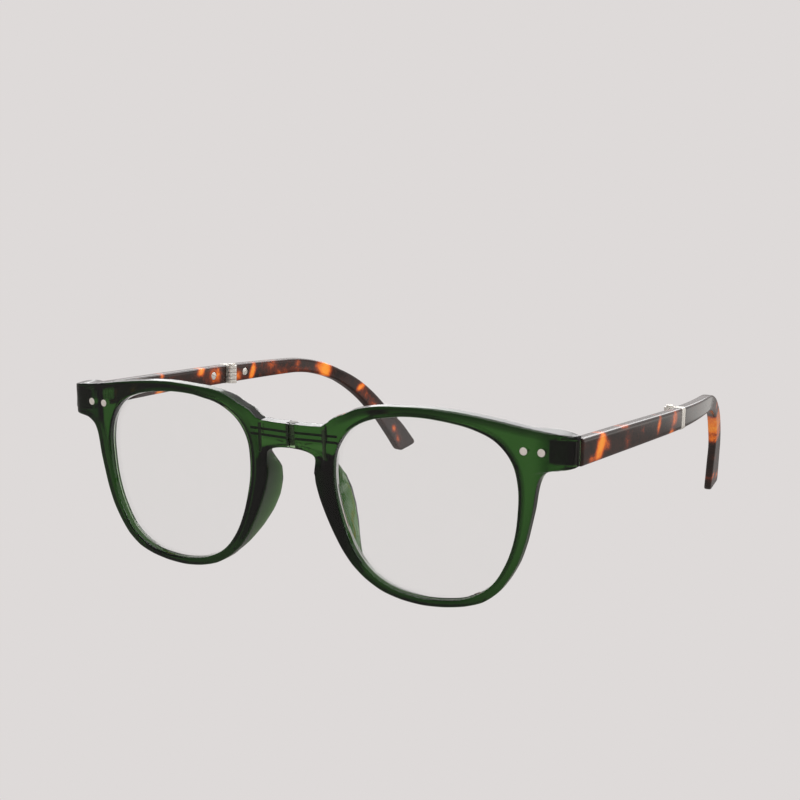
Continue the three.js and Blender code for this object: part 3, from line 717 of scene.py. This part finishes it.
def lens(side):
    N = 140
    ang = np.arange(N) / N * 360
    rad = np.array([aperture_radius(a) for a in ang])

    def ring(k, off, d):
        r = (rad + off) * k
        return half(APERTURE_X + r * np.cos(np.radians(ang)), d, r * np.sin(np.radians(ang)))
    ks = np.linspace(0.04, 1.0, 16)
    c0, c1, e0, e1 = 0.6, 1.55, 1.5, 2.35
    list_ = [ring(k, -0.18, c0 + (e0 - c0) * k * k) for k in ks]
    list_ += [ring(1, 0.36, 1.84), ring(1, 0.42, 1.9), ring(1, 0.36, 1.97)]
    list_ += [ring(k, -0.18, c1 + (e1 - c1) * k * k) for k in ks[::-1]]
    ob = make(f"clear_lens_{side}", Shell().add(*rings(list_, False)), side)
    shade(ob, 20.0)
    return finish_piece(ob, CLEAR, f"front_{side}", [f"lens_{side}"])


# ------------------------------------------------------------------ temples
# patches of amber: along, up, half length, half height, slant, strength
PATCHES = {
    "right": [
        (31.3, 2.3, 1.0, 1.0, 0.2, 0.75), (30.3, -2.6, 1.8, 0.8, 0.0, 0.75), (20.5, 0.5, 1.6, 2.2, 0.3, 0.55), (12.0, -0.5, 2.2, 2.2, 0.2, 0.6),
        (48.6, 1.8, 1.7, 1.5, 0.3, 0.95), (54.4, 0.4, 3.2, 2.6, 0.1, 0.50), (56.6, -0.4, 1.4, 2.6, 0.0, 0.28),
        (65.4, -0.9, 1.9, 1.9, 0.0, 0.52), (71.6, -0.3, 1.15, 2.6, 0.30, 0.92), (80.3, 1.4, 2.2, 1.6, 0.2, 0.34),
        (87.0, -1.4, 9.0, 1.3, 0.0, 0.16), (91.0, 0.8, 1.1, 1.1, 0.0, 0.36), (102.9, 0.2, 2.3, 2.9, 0.0, 1.00), (99.4, 0.4, 1.5, 2.4, 0.0, 0.35),
        (118.6, 0.3, 1.0, 2.1, 0.45, 0.80), (121.6, -0.3, 2.4, 2.2, 0.3, 0.32), (133.6, 1.6, 1.3, 1.7, 0.3, 0.50),
        (139.2, -0.4, 1.1, 1.6, 0.1, 0.58), (142.6, -1.6, 1.6, 1.5, 0.0, 0.33), (127.0, -1.0, 2.4, 1.8, 0.2, 0.40),
        (84.0, 0.0, 17.0, 4.5, 0.0, 0.15), (36.0, -1.0, 9.0, 3.0, 0.0, 0.12)],
    "left": [
        (5.0, -2.2, 1.8, 1.3, 0.0, 0.42), (11.2, 1.3, 2.4, 1.9, 0.2, 0.90), (9.4, -1.4, 2.2, 2.0, 0.2, 0.72), (14.6, 0.0, 1.5, 1.6, 0.2, 0.42),
        (25.4, -0.4, 1.5, 2.6, 0.2, 0.34), (24.0, 3.0, 2.6, 0.8, 0.0, 0.45), (34.5, 0.8, 1.2, 1.2, 0.0, 0.22),
        (44.6, 0.6, 1.15, 2.4, 0.35, 0.72), (54.9, 0.9, 2.5, 2.1, 0.1, 0.52), (52.6, -2.6, 2.0, 0.9, 0.0, 0.68),
        (76.0, 1.2, 2.0, 1.6, 0.2, 0.10), (104.5, 0.5, 2.4, 2.0, 0.2, 0.50),
        (112.5, -1.0, 3.6, 5.0, 0.2, 0.66), (118.5, -1.0, 3.4, 5.0, 0.2, 0.78), (124.0, -1.2, 2.2, 4.0, 0.2, 0.62),
        (133.5, -1.6, 1.2, 1.0, 0.1, 0.30), (140.8, -2.2, 1.6, 1.5, 0.1, 0.55), (144.5, 1.6, 1.9, 1.7, 0.0, 0.62)],
}


def amber_field(side, s, a, v):
    f = np.full(len(s), 0.06)
    for s0, v0, rs, rv, slant, k in PATCHES[side]:
        ds = s - s0 - slant * (v - v0)
        f = f + k * np.exp(-((ds / rs) ** 2 * 0.9 + ((v - v0) / rv) ** 2 * 0.9) ** 1.2)
    return np.clip(f, 0, 1.0)


def temple_ring(s, end=None, shrink=0.0, grow=0.0, grid=None):
    h = float(table(HALF_HEIGHT, s)[0]) + grow
    t = float(table(THICK, s)[0]) + 2 * grow
    thin = 0.4 * float(smooth((s - 116) / 14))          # the ear tip's inner face is eased off
    t -= thin
    c = thin - grow
    sv = sa = 0.0
    if end is not None:
        q = s - (end - 1.7)
        if q > 0:
            sv = 1.7 - math.sqrt(max(0.0, 1.7 ** 2 - q * q))
        q = s - (end - 0.75)
        if q > 0:
            sa = 0.75 - math.sqrt(max(0.0, 0.75 ** 2 - q * q))
    h -= sv + shrink
    t -= 2 * (sa + shrink)
    c += sa + shrink
    r = min(0.6, t * 0.36, h * 0.6)
    ri = r
    pts = []

    def corner(ca, cv, q, rad):
        for k in range(6):
            w = math.radians(q + 90 * k / 5)
            pts.append((ca + rad * math.cos(w), cv + rad * math.sin(w)))

    def side_points(a0, v0, a1, v1, n):
        for k in range(1, n):
            pts.append((a0 + (a1 - a0) * k / n, v0 + (v1 - v0) * k / n))
    corner(c + t - r, h - r, 0, r)
    side_points(c + t - r, h, c + ri, h, 3)
    corner(c + ri, h - ri, 90, ri)
    side_points(c, h - ri, c, -h + ri, 9)
    corner(c + ri, -h + ri, 180, ri)
    side_points(c + ri, -h, c + t - r, -h, 3)
    corner(c + t - r, -h + r, 270, r)
    side_points(c + t, -h + r, c + t, h - r, 9)
    k = END_SLANT * float(smooth((s - TEMPLE_END + 8) / 6))
    return [(s + k * v, a, v) for a, v in pts]


def temple_piece(side, lo, hi, end):
    stops = list(np.arange(lo, hi, 0.7))
    if end is not None:
        stops = [s for s in stops if s < hi - 2.0] + [hi - 2.0, hi - 1.7, hi - 1.4, hi - 1.1, hi - 0.85, hi - 0.65, hi - 0.48, hi - 0.34, hi - 0.22, hi - 0.12, hi - 0.05, hi - 0.012]
    else:
        stops = [s for s in stops if s < hi - 0.3] + [hi]
    rings_ = []
    first, last = stops[0], stops[-1]
    extra = []
    for s in stops:
        rings_.append(temple_ring(s, end))
    # softened cut ends
    for at_first in ((True, False) if end is None else (True,)):
        s = first if at_first else last
        k = 0 if at_first else len(rings_) - 1
        sg = 1 if at_first else -1
        soft = [[(q[0], q[1], q[2]) for q in temple_ring(s, None, 0.16)], [(q[0], q[1], q[2]) for q in temple_ring(s + sg * 0.05, None, 0.05)], temple_ring(s + sg * 0.16, None, 0.0)]
        if at_first:
            rings_ = soft + rings_[1:]
        else:
            rings_ = rings_[:-1] + soft[::-1]
    sav = np.array([q for r in rings_ for q in r])
    pts = [np.array([temple(*q) for q in r]) for r in rings_]
    return sav, rings(pts, False)


def add_path(ob, side):
    """stores where each point is on the temple, and how much amber is there"""
    me = ob.data
    n = len(me.vertices)
    co = np.zeros(n * 3, np.float32)
    me.vertices.foreach_get("co", co)
    co = co.reshape(-1, 3).astype(float) * 1000 - OFFSET
    y, z = co[:, 1] * _ct + co[:, 2] * _st, -co[:, 1] * _st + co[:, 2] * _ct
    x = np.abs(co[:, 0])
    line = np.array(_path)
    k = np.argmin((y[:, None] - line[None, :, 0]) ** 2 + (z[:, None] - line[None, :, 1]) ** 2, axis=1)
    ang = np.array([path_angle(q * STEP) for q in k])
    dy, dz = y - line[k, 0], z - line[k, 1]
    s = k * STEP + dy * np.cos(ang) + dz * np.sin(ang)
    v = -dy * np.sin(ang) + dz * np.cos(ang)
    a = x - np.array([inner_x(q) for q in s])
    for key in ("path", "amber"):
        if key in me.attributes:
            me.attributes.remove(me.attributes[key])
    at = me.attributes.new("path", "FLOAT_VECTOR", "POINT")
    shift = 0.0 if side == "left" else 300.0
    at.data.foreach_set("vector", np.stack([s + shift, a, v], -1).astype(np.float32).ravel())
    am = me.attributes.new("amber", "FLOAT", "POINT")
    am.data.foreach_set("value", amber_field(side, s, a, v).astype(np.float32))


def tongue_pocket(rear):
    sg = 1 if rear else -1
    s1 = MID + sg * (0.08 + PLATE)
    return rings([[T3(0.8, s1 - sg * 0.8 + sg * i * 3.5, -1.5), T3(2.1, s1 - sg * 0.8 + sg * i * 3.5, -1.5),
                   T3(2.1, s1 - sg * 0.8 + sg * i * 3.5, 1.5), T3(0.8, s1 - sg * 0.8 + sg * i * 3.5, 1.5)] for i in range(5)], False)


def screw_hole(rear):
    s = MID + (SCREW_AT if rear else -SCREW_AT)
    at = temple(s, 0, 0)
    return cylinder(at - V3(1, 0, 0), at + V3(1.2, 0, 0), 1.24)


def temples(side):
    sav, mesh = temple_piece(side, TEMPLE_START, MID - 0.08 - PLATE - 0.1, None)
    ob = make(f"temple_shell_front_{side}", Shell().add(*mesh), side)
    cut(ob, [block(T3, (-1.5, 1.3), (-1, 13.2), (-1.85, 1.85)), tongue_pocket(False), screw_hole(False)], side)
    add_path(ob, side)
    shade(ob, 34.0)
    finish_piece(ob, TORTOISE, f"temple_{side}", [f"temple_front_{side}"])
    sav, mesh = temple_piece(side, MID + 0.08 + PLATE + 0.1, TEMPLE_END, TEMPLE_END)
    ob = make(f"temple_shell_rear_{side}", Shell().add(*mesh), side)
    cut(ob, [tongue_pocket(True), screw_hole(True)], side)
    add_path(ob, side)
    shade(ob, 34.0)
    finish_piece(ob, TORTOISE, f"tip_{side}", [f"temple_rear_{side}"])


# ------------------------------------------------------------------ metal


def knuckles(lo, hi, n=5):
    h = (hi - lo) / n
    return [(lo + i * h + (KNUCKLE_GAP / 2 if i else 0), lo + (i + 1) * h - (KNUCKLE_GAP / 2 if i < n - 1 else 0)) for i in range(n)]


def metal(name, parts, side, body, nodes, cutters=(), material=None, angle=32.0):
    sh = Shell()
    for p in parts:
        sh.add(*p)
    ob = make(name, sh, side)
    if cutters:
        cut(ob, cutters, side)
    shade(ob, angle)
    return finish_piece(ob, material or STEEL, body, nodes)


def bridge_hinge(side):
    mine = (0, 2, 4) if side == "left" else (1, 3)
    all_ = knuckles(*BRIDGE_Z)
    D = BRIDGE_D
    parts = [block(H3, (CREASE_U - 0.42, CREASE_U + 0.42), (1.0, 1.6), (1.8, 8.9), 0.08)]
    for z in PRONG_Z:
        parts.append(cylinder(half(0.7, D, z), half(12.4, D, z), PRONG * 1.2, 20))
    for i in mine:
        parts.append(drum(V3(0, D, 0), (0, 0, 1), *all_[i], BRIDGE_R, 0.09))
        parts.append(block(V3, (0.2, BRIDGE_R + 0.1), (D - 0.55, D + 0.55), (all_[i][0] + 0.02, all_[i][1] - 0.02)))
    metal(f"bridge_hinge_{side}", parts, side, f"front_{side}", [f"bridge_leaf_{side}"], material=BRIDGE)


def screw_head(at, top, head_r, name, body, node, side, foot):
    c = at + AXIS * (top + 0.5)
    parts = [turned([(0.05, foot - 0.1), (PIN_R, foot + 0.1), (PIN_R, top + 0.1), (head_r, top + 0.1), (head_r, top + 0.32), (head_r * 0.93, top + 0.42), (head_r * 0.75, top + 0.5), (0.05, top + 0.5)], at, AXIS)]
    y = np.array([0, math.cos(TEMPLE_SLOPE), math.sin(TEMPLE_SLOPE)])
    slot = block(lambda a, b, k: c + V3(1, 0, 0) * a + y * b + AXIS * k, (-1.5, 1.5), (-0.13, 0.13), (-0.22, 0.3))
    metal(name, parts, side, body, [node], [slot])


def end_hinge(side):
    all_ = knuckles(-2.5, 2.5)
    plate = [block(T3, (-3.9, 2.1), (-0.9, 0.72), (-2.55, 2.55), 0.1)]
    sh = Shell()
    for p in plate:
        sh.add(*p)
    ob = make(f"end_hinge_front_{side}", sh, side)
    cut(ob, [cylinder(END_AT - AXIS * 4, END_AT + AXIS * 4, HINGE_R + 0.15)], side)
    sh = Shell()
    sh.add(*block(T3, (1.7, 2.2), (-0.85, 0.6), (-2.5, 2.5), 0.1))
    for i in (0, 2, 4):
        sh.add(*drum(END_AT, AXIS, *all_[i], HINGE_R, 0.1))
        sh.add(*block(T3, (-3.2, -1.0), (0.3, END_S), (all_[i][0] + 0.02, all_[i][1] - 0.02)))
    extra = make("extra", sh, side)
    join(ob, extra)
    shade(ob)
    finish_piece(ob, DARK, f"front_{side}", [f"end_leaf_{side}"])
    parts = [block(T3, (0.15, 1.15), (1.3, 13.0), (-1.7, 1.7), 0.12)]
    for i in (1, 3):
        parts.append(drum(END_AT, AXIS, *all_[i], HINGE_R, 0.1))
        parts.append(block(T3, (END_A, 0.9), (1.25, 2.75), (max(all_[i][0], -1.69) + 0.02, min(all_[i][1], 1.69) - 0.02)))
    metal(f"end_hinge_temple_{side}", parts, side, f"temple_{side}", [f"temple_leaf_{side}"])
    screw_head(END_AT, 2.5, 1.0, f"end_hinge_screw_{side}", f"front_{side}", f"end_screw_{side}", side, -2.5)


def join(a, b):
    bm = bmesh.new()
    bm.from_mesh(a.data)
    bm.from_mesh(b.data)
    bm.to_mesh(a.data)
    bm.free()
    bpy.data.objects.remove(b)
    return a


def mid_hinge(side):
    all_ = knuckles(-2.6, 2.6)
    for rear in (False, True):
        sg = 1 if rear else -1
        s0, s1 = MID + sg * 0.08, MID + sg * (0.08 + PLATE)
        lo, hi = min(s0, s1), max(s0, s1)
        list_ = []
        for s, sh in ((lo, 0.12), (lo + 0.04, 0.04), (lo + 0.13, 0.0), (hi - 0.13, 0.0), (hi - 0.04, 0.04), (hi, 0.12)):
            list_.append([temple(*q) for q in temple_ring(s, None, sh, 0.12)])
        ob = make(f"mid_hinge_{'rear' if rear else 'front'}_{side}", Shell().add(*rings(list_, False)), side)
        cut(ob, [cylinder(MID_AT - AXIS * 4, MID_AT + AXIS * 4, HINGE_R + 0.15)], side)
        sh = Shell()
        sh.add(*rings([[T3(0.95, s1 - sg * 0.3 + sg * i * 3.3, -1.35), T3(1.95, s1 - sg * 0.3 + sg * i * 3.3, -1.35),
                        T3(1.95, s1 - sg * 0.3 + sg * i * 3.3, 1.35), T3(0.95, s1 - sg * 0.3 + sg * i * 3.3, 1.35)] for i in range(5)], False))
        for i in ((1, 3) if rear else (0, 2, 4)):
            sh.add(*drum(MID_AT, AXIS, *all_[i], HINGE_R, 0.12))
            sh.add(*block(T3, (MID_A, 1.3), (MID + 0.1, MID + 1.1) if rear else (MID - 1.1, MID - 0.1), (all_[i][0] + 0.02, all_[i][1] - 0.02)))
        join(ob, make("extra", sh, side))
        shade(ob)
        finish_piece(ob, STEEL, f"{'tip' if rear else 'temple'}_{side}", [f"mid_leaf_{'rear' if rear else 'front'}_{side}"])
        # fastening screw with a slotted head
        s = MID + sg * SCREW_AT
        at = temple(s, 0, 0)
        out = V3(1, 0, 0)
        head = turned([(0.72, -0.10), (0.90, -0.07), (1.04, 0.0), (1.13, 0.12), (1.15, 0.25), (1.15, 0.5), (0.6, 0.5), (0.6, 0.8)], at, out)
        n = temple(s, 0, 1) - at
        n /= np.linalg.norm(n)
        t = V3(0, n[2], -n[1])
        k = 0.6 if rear else -0.5
        d = t * math.cos(k) + n * math.sin(k)
        e = np.cross(d, out)
        slot = block(lambda a, b, c: at + out * a + d * b + e * c, (-0.3, 0.2), (-1.4, 1.4), (-0.17, 0.17))
        metal(f"temple_screw_{'rear' if rear else 'front'}_{side}", [head], side, f"{'tip' if rear else 'temple'}_{side}", [f"mid_screw_{'rear' if rear else 'front'}_{side}"], [slot])
    screw_head(MID_AT, 2.6, 0.95, f"mid_hinge_pin_{side}", f"temple_{side}", f"mid_pin_{side}", side, -2.6)


def rivets(side):
    for (u, z), name in zip(RIVETS, ("inner", "outer")):
        prof = [(0.84, -2.2), (0.90, -2.1), (0.90, -0.06), (0.88, 0.03), (0.83, 0.08), (0.74, 0.10), (0.4, 0.108), (0.05, 0.11)]
        metal(f"rivet_head_{name}_{side}", [turned(prof, half(u, 0, z), FACING)], side, f"front_{side}", [f"rivet_{name}_{side}"], material=RIVET, angle=50)


for side in ("left", "right"):
    front_half(side)
    lens(side)
    temples(side)
    bridge_hinge(side)
    end_hinge(side)
    mid_hinge(side)
    rivets(side)
metal("bridge_hinge_pin", [turned([(0.3, BRIDGE_Z[0] + 0.15), (PIN_R - 0.03, BRIDGE_Z[0] + 0.18), (PIN_R, BRIDGE_Z[0] + 0.25), (PIN_R, BRIDGE_Z[1] - 0.2), (PIN_R - 0.03, BRIDGE_Z[1] - 0.13), (0.3, BRIDGE_Z[1] - 0.1)], V3(0, BRIDGE_D, 0), (0, 0, 1))], "left", "front_left", ["bridge_pin"])

# hidden CAD nodes keep a material of their own kind
for n, ob in frame["nodes"].items():
    ob.data.materials.clear()
    ob.data.materials.append(GREEN if n.startswith("front_half") else CLEAR if n.startswith("lens") else TORTOISE if n.startswith(("temple_front", "temple_rear")) else RIVET if n.startswith("rivet") else STEEL)

# ------------------------------------------------------------------ stage, light and camera
PAPER = (0.7305, 0.7011, 0.6939)
w = bpy.data.worlds.new("studio")
bpy.context.scene.world = w
w.use_nodes = True
w.node_tree.nodes["Background"].inputs["Color"].default_value = (*PAPER, 1)
w.node_tree.nodes["Background"].inputs["Strength"].default_value = 1.0

me = bpy.data.meshes.new("floor")
bm = bmesh.new()
bmesh.ops.create_circle(bm, cap_ends=True, segments=64, radius=6.0)
bm.to_mesh(me)
bm.free()
floor = bpy.data.objects.new("floor", me)
bpy.context.scene.collection.objects.link(floor)
floor.location = (0, 0, -0.0004)
fm = bpy.data.materials.new("paper")
fm.use_nodes = True
nt = fm.node_tree
nt.nodes.clear()
out = nt.nodes.new("ShaderNodeOutputMaterial")
em = nt.nodes.new("ShaderNodeEmission")
em.inputs["Color"].default_value = (*PAPER, 1)
em.inputs["Strength"].default_value = 1.0
nt.links.new(em.outputs["Emission"], out.inputs["Surface"])
me.materials.append(fm)
floor.visible_glossy = False

# a dark cloth under the pale table top: only mirror reflections see it
me = bpy.data.meshes.new("dark_cloth")
bm = bmesh.new()
bmesh.ops.create_circle(bm, cap_ends=True, segments=64, radius=6.0)
bm.to_mesh(me)
bm.free()
cloth = bpy.data.objects.new("dark_cloth", me)
bpy.context.scene.collection.objects.link(cloth)
cloth.location = (0, 0, -0.0006)
cm = bpy.data.materials.new("cloth")
cm.use_nodes = True
nt = cm.node_tree
nt.nodes.clear()
out = nt.nodes.new("ShaderNodeOutputMaterial")
em = nt.nodes.new("ShaderNodeEmission")
em.inputs["Color"].default_value = (0.30, 0.28, 0.27, 1)
em.inputs["Strength"].default_value = 1.0
nt.links.new(em.outputs["Emission"], out.inputs["Surface"])
me.materials.append(cm)
cloth.visible_camera = cloth.visible_diffuse = cloth.visible_transmission = cloth.visible_shadow = cloth.visible_volume_scatter = False

# the unlit half of the room in front of the glasses, also for mirror reflections only
pts, faces = [], []
for j in range(13):
    e = math.radians(-2 + 70 * j / 12)
    for i in range(25):
        a = math.radians(-115 + 215 * i / 24)
        pts.append((5 * math.sin(a) * math.cos(e), -5 * math.cos(a) * math.cos(e), 5 * math.sin(e)))
for j in range(12):
    for i in range(24):
        k = j * 25 + i
        faces.append((k, k + 1, k + 26, k + 25))
me = bpy.data.meshes.new("dark_room")
me.from_pydata(pts, [], faces)
room = bpy.data.objects.new("dark_room", me)
bpy.context.scene.collection.objects.link(room)
rm = bpy.data.materials.new("room")
rm.use_nodes = True
nt = rm.node_tree
nt.nodes.clear()
out = nt.nodes.new("ShaderNodeOutputMaterial")
em = nt.nodes.new("ShaderNodeEmission")
em.inputs["Color"].default_value = (0.20, 0.20, 0.195, 1)
em.inputs["Strength"].default_value = 1.0
nt.links.new(em.outputs["Emission"], out.inputs["Surface"])
me.materials.append(rm)
room.visible_camera = room.visible_diffuse = room.visible_transmission = room.visible_shadow = room.visible_volume_scatter = False


# a light card on the cloth beside the rear of the left temple, for mirror reflections only
me = bpy.data.meshes.new("light_card")
me.from_pydata([(0.110, 0.126, 0), (0.5, 0.126, 0), (0.5, 0.5, 0), (0.04, 0.5, 0), (0.058, 0.170, 0), (0.080, 0.150, 0)], [], [(0, 1, 2, 3, 4, 5)])
card = bpy.data.objects.new("light_card", me)
bpy.context.scene.collection.objects.link(card)
card.location = (0, 0, -0.0005)
km = bpy.data.materials.new("card")
km.use_nodes = True
nt = km.node_tree
nt.nodes.clear()
out = nt.nodes.new("ShaderNodeOutputMaterial")
em = nt.nodes.new("ShaderNodeEmission")
em.inputs["Strength"].default_value = 1.2
co = object_coordinates(nt)
sep = nt.nodes.new("ShaderNodeSeparateXYZ")
nt.links.new(co, sep.inputs[0])
near = map_range(nt, sep.outputs["Y"], 0.126, 0.176, 0.0, 1.0)
glow = ramp(nt, near, [(0.0, (0.25, 0.235, 0.226)), (0.25, (0.30, 0.285, 0.275)), (0.95, (0.80, 0.78, 0.75))])
nt.links.new(glow.outputs["Color"], em.inputs["Color"])
nt.links.new(em.outputs["Emission"], out.inputs["Surface"])
me.materials.append(km)
card.visible_camera = card.visible_diffuse = card.visible_transmission = card.visible_shadow = card.visible_volume_scatter = False


def area(name, size, azimuth, elevation, distance, power, aim=(0, 0, 0.02), colour=(1, 1, 1), transmit=True):
    li = bpy.data.lights.new(name, "AREA")
    li.shape = "RECTANGLE"
    li.size, li.size_y = size
    li.energy = power
    li.color = colour
    ob = bpy.data.objects.new(name, li)
    bpy.context.scene.collection.objects.link(ob)
    a, e = math.radians(azimuth), math.radians(elevation)
    at = Vector(aim) + distance * Vector((math.sin(a) * math.cos(e), -math.cos(a) * math.cos(e), math.sin(e)))
    ob.location = at
    ob.rotation_euler = (at - Vector(aim)).to_track_quat("Z", "Y").to_euler()
    ob.visible_camera = False
    ob.visible_transmission = transmit
    return ob


area("overhead", (0.9, 0.9), 10, 80, 0.9, 3.6, transmit=False)
area("backdrop", (1.2, 0.40), 211, 21.75, 1.0, 3.3, transmit=False)
area("fill", (0.5, 0.7), 75, 35, 0.9, 2.0, transmit=False)
area("rim", (0.5, 0.4), 166, 36, 1.0, 2.2, transmit=False)

YAW, PITCH, ROLL = math.radians(31.5033), math.radians(14.4186), math.radians(-2.8585)
DISTANCE, FOCAL_PX, ACROSS, UP = 384.712, 1632.60, 26.1289, 15.1665
back = V3(math.sin(YAW) * math.cos(PITCH), -math.cos(YAW) * math.cos(PITCH), math.sin(PITCH))
right = V3(math.cos(YAW), math.sin(YAW), 0)
up = np.cross(right, -back)
cr = right * math.cos(ROLL) + up * math.sin(ROLL)
cu = -right * math.sin(ROLL) + up * math.cos(ROLL)
eye = back * DISTANCE + cr * ACROSS + cu * UP
look = -back - cr * (0.85 / FOCAL_PX) - cu * (0.11 / FOCAL_PX)
look /= np.linalg.norm(look)
cr = np.cross(look, np.cross(cr, look))
cr /= np.linalg.norm(cr)
cu = np.cross(cr, look)
cam = bpy.data.cameras.new("camera")
cam.lens = FOCAL_PX / 800 * 36
cam.sensor_width = 36
cam.clip_start = 0.01
cam.clip_end = 50
co = bpy.data.objects.new("camera", cam)
bpy.context.scene.collection.objects.link(co)
R_, U_, B_ = _stand(cr), _stand(cu), _stand(-look)
co.matrix_world = Matrix(((R_[0], U_[0], B_[0], 0), (R_[1], U_[1], B_[1], 0), (R_[2], U_[2], B_[2], 0), (0, 0, 0, 1)))
co.location = Vector(world(eye))
bpy.context.scene.camera = co
bpy.context.scene.view_settings.view_transform = "Standard"
bpy.context.scene.view_settings.look = "None"
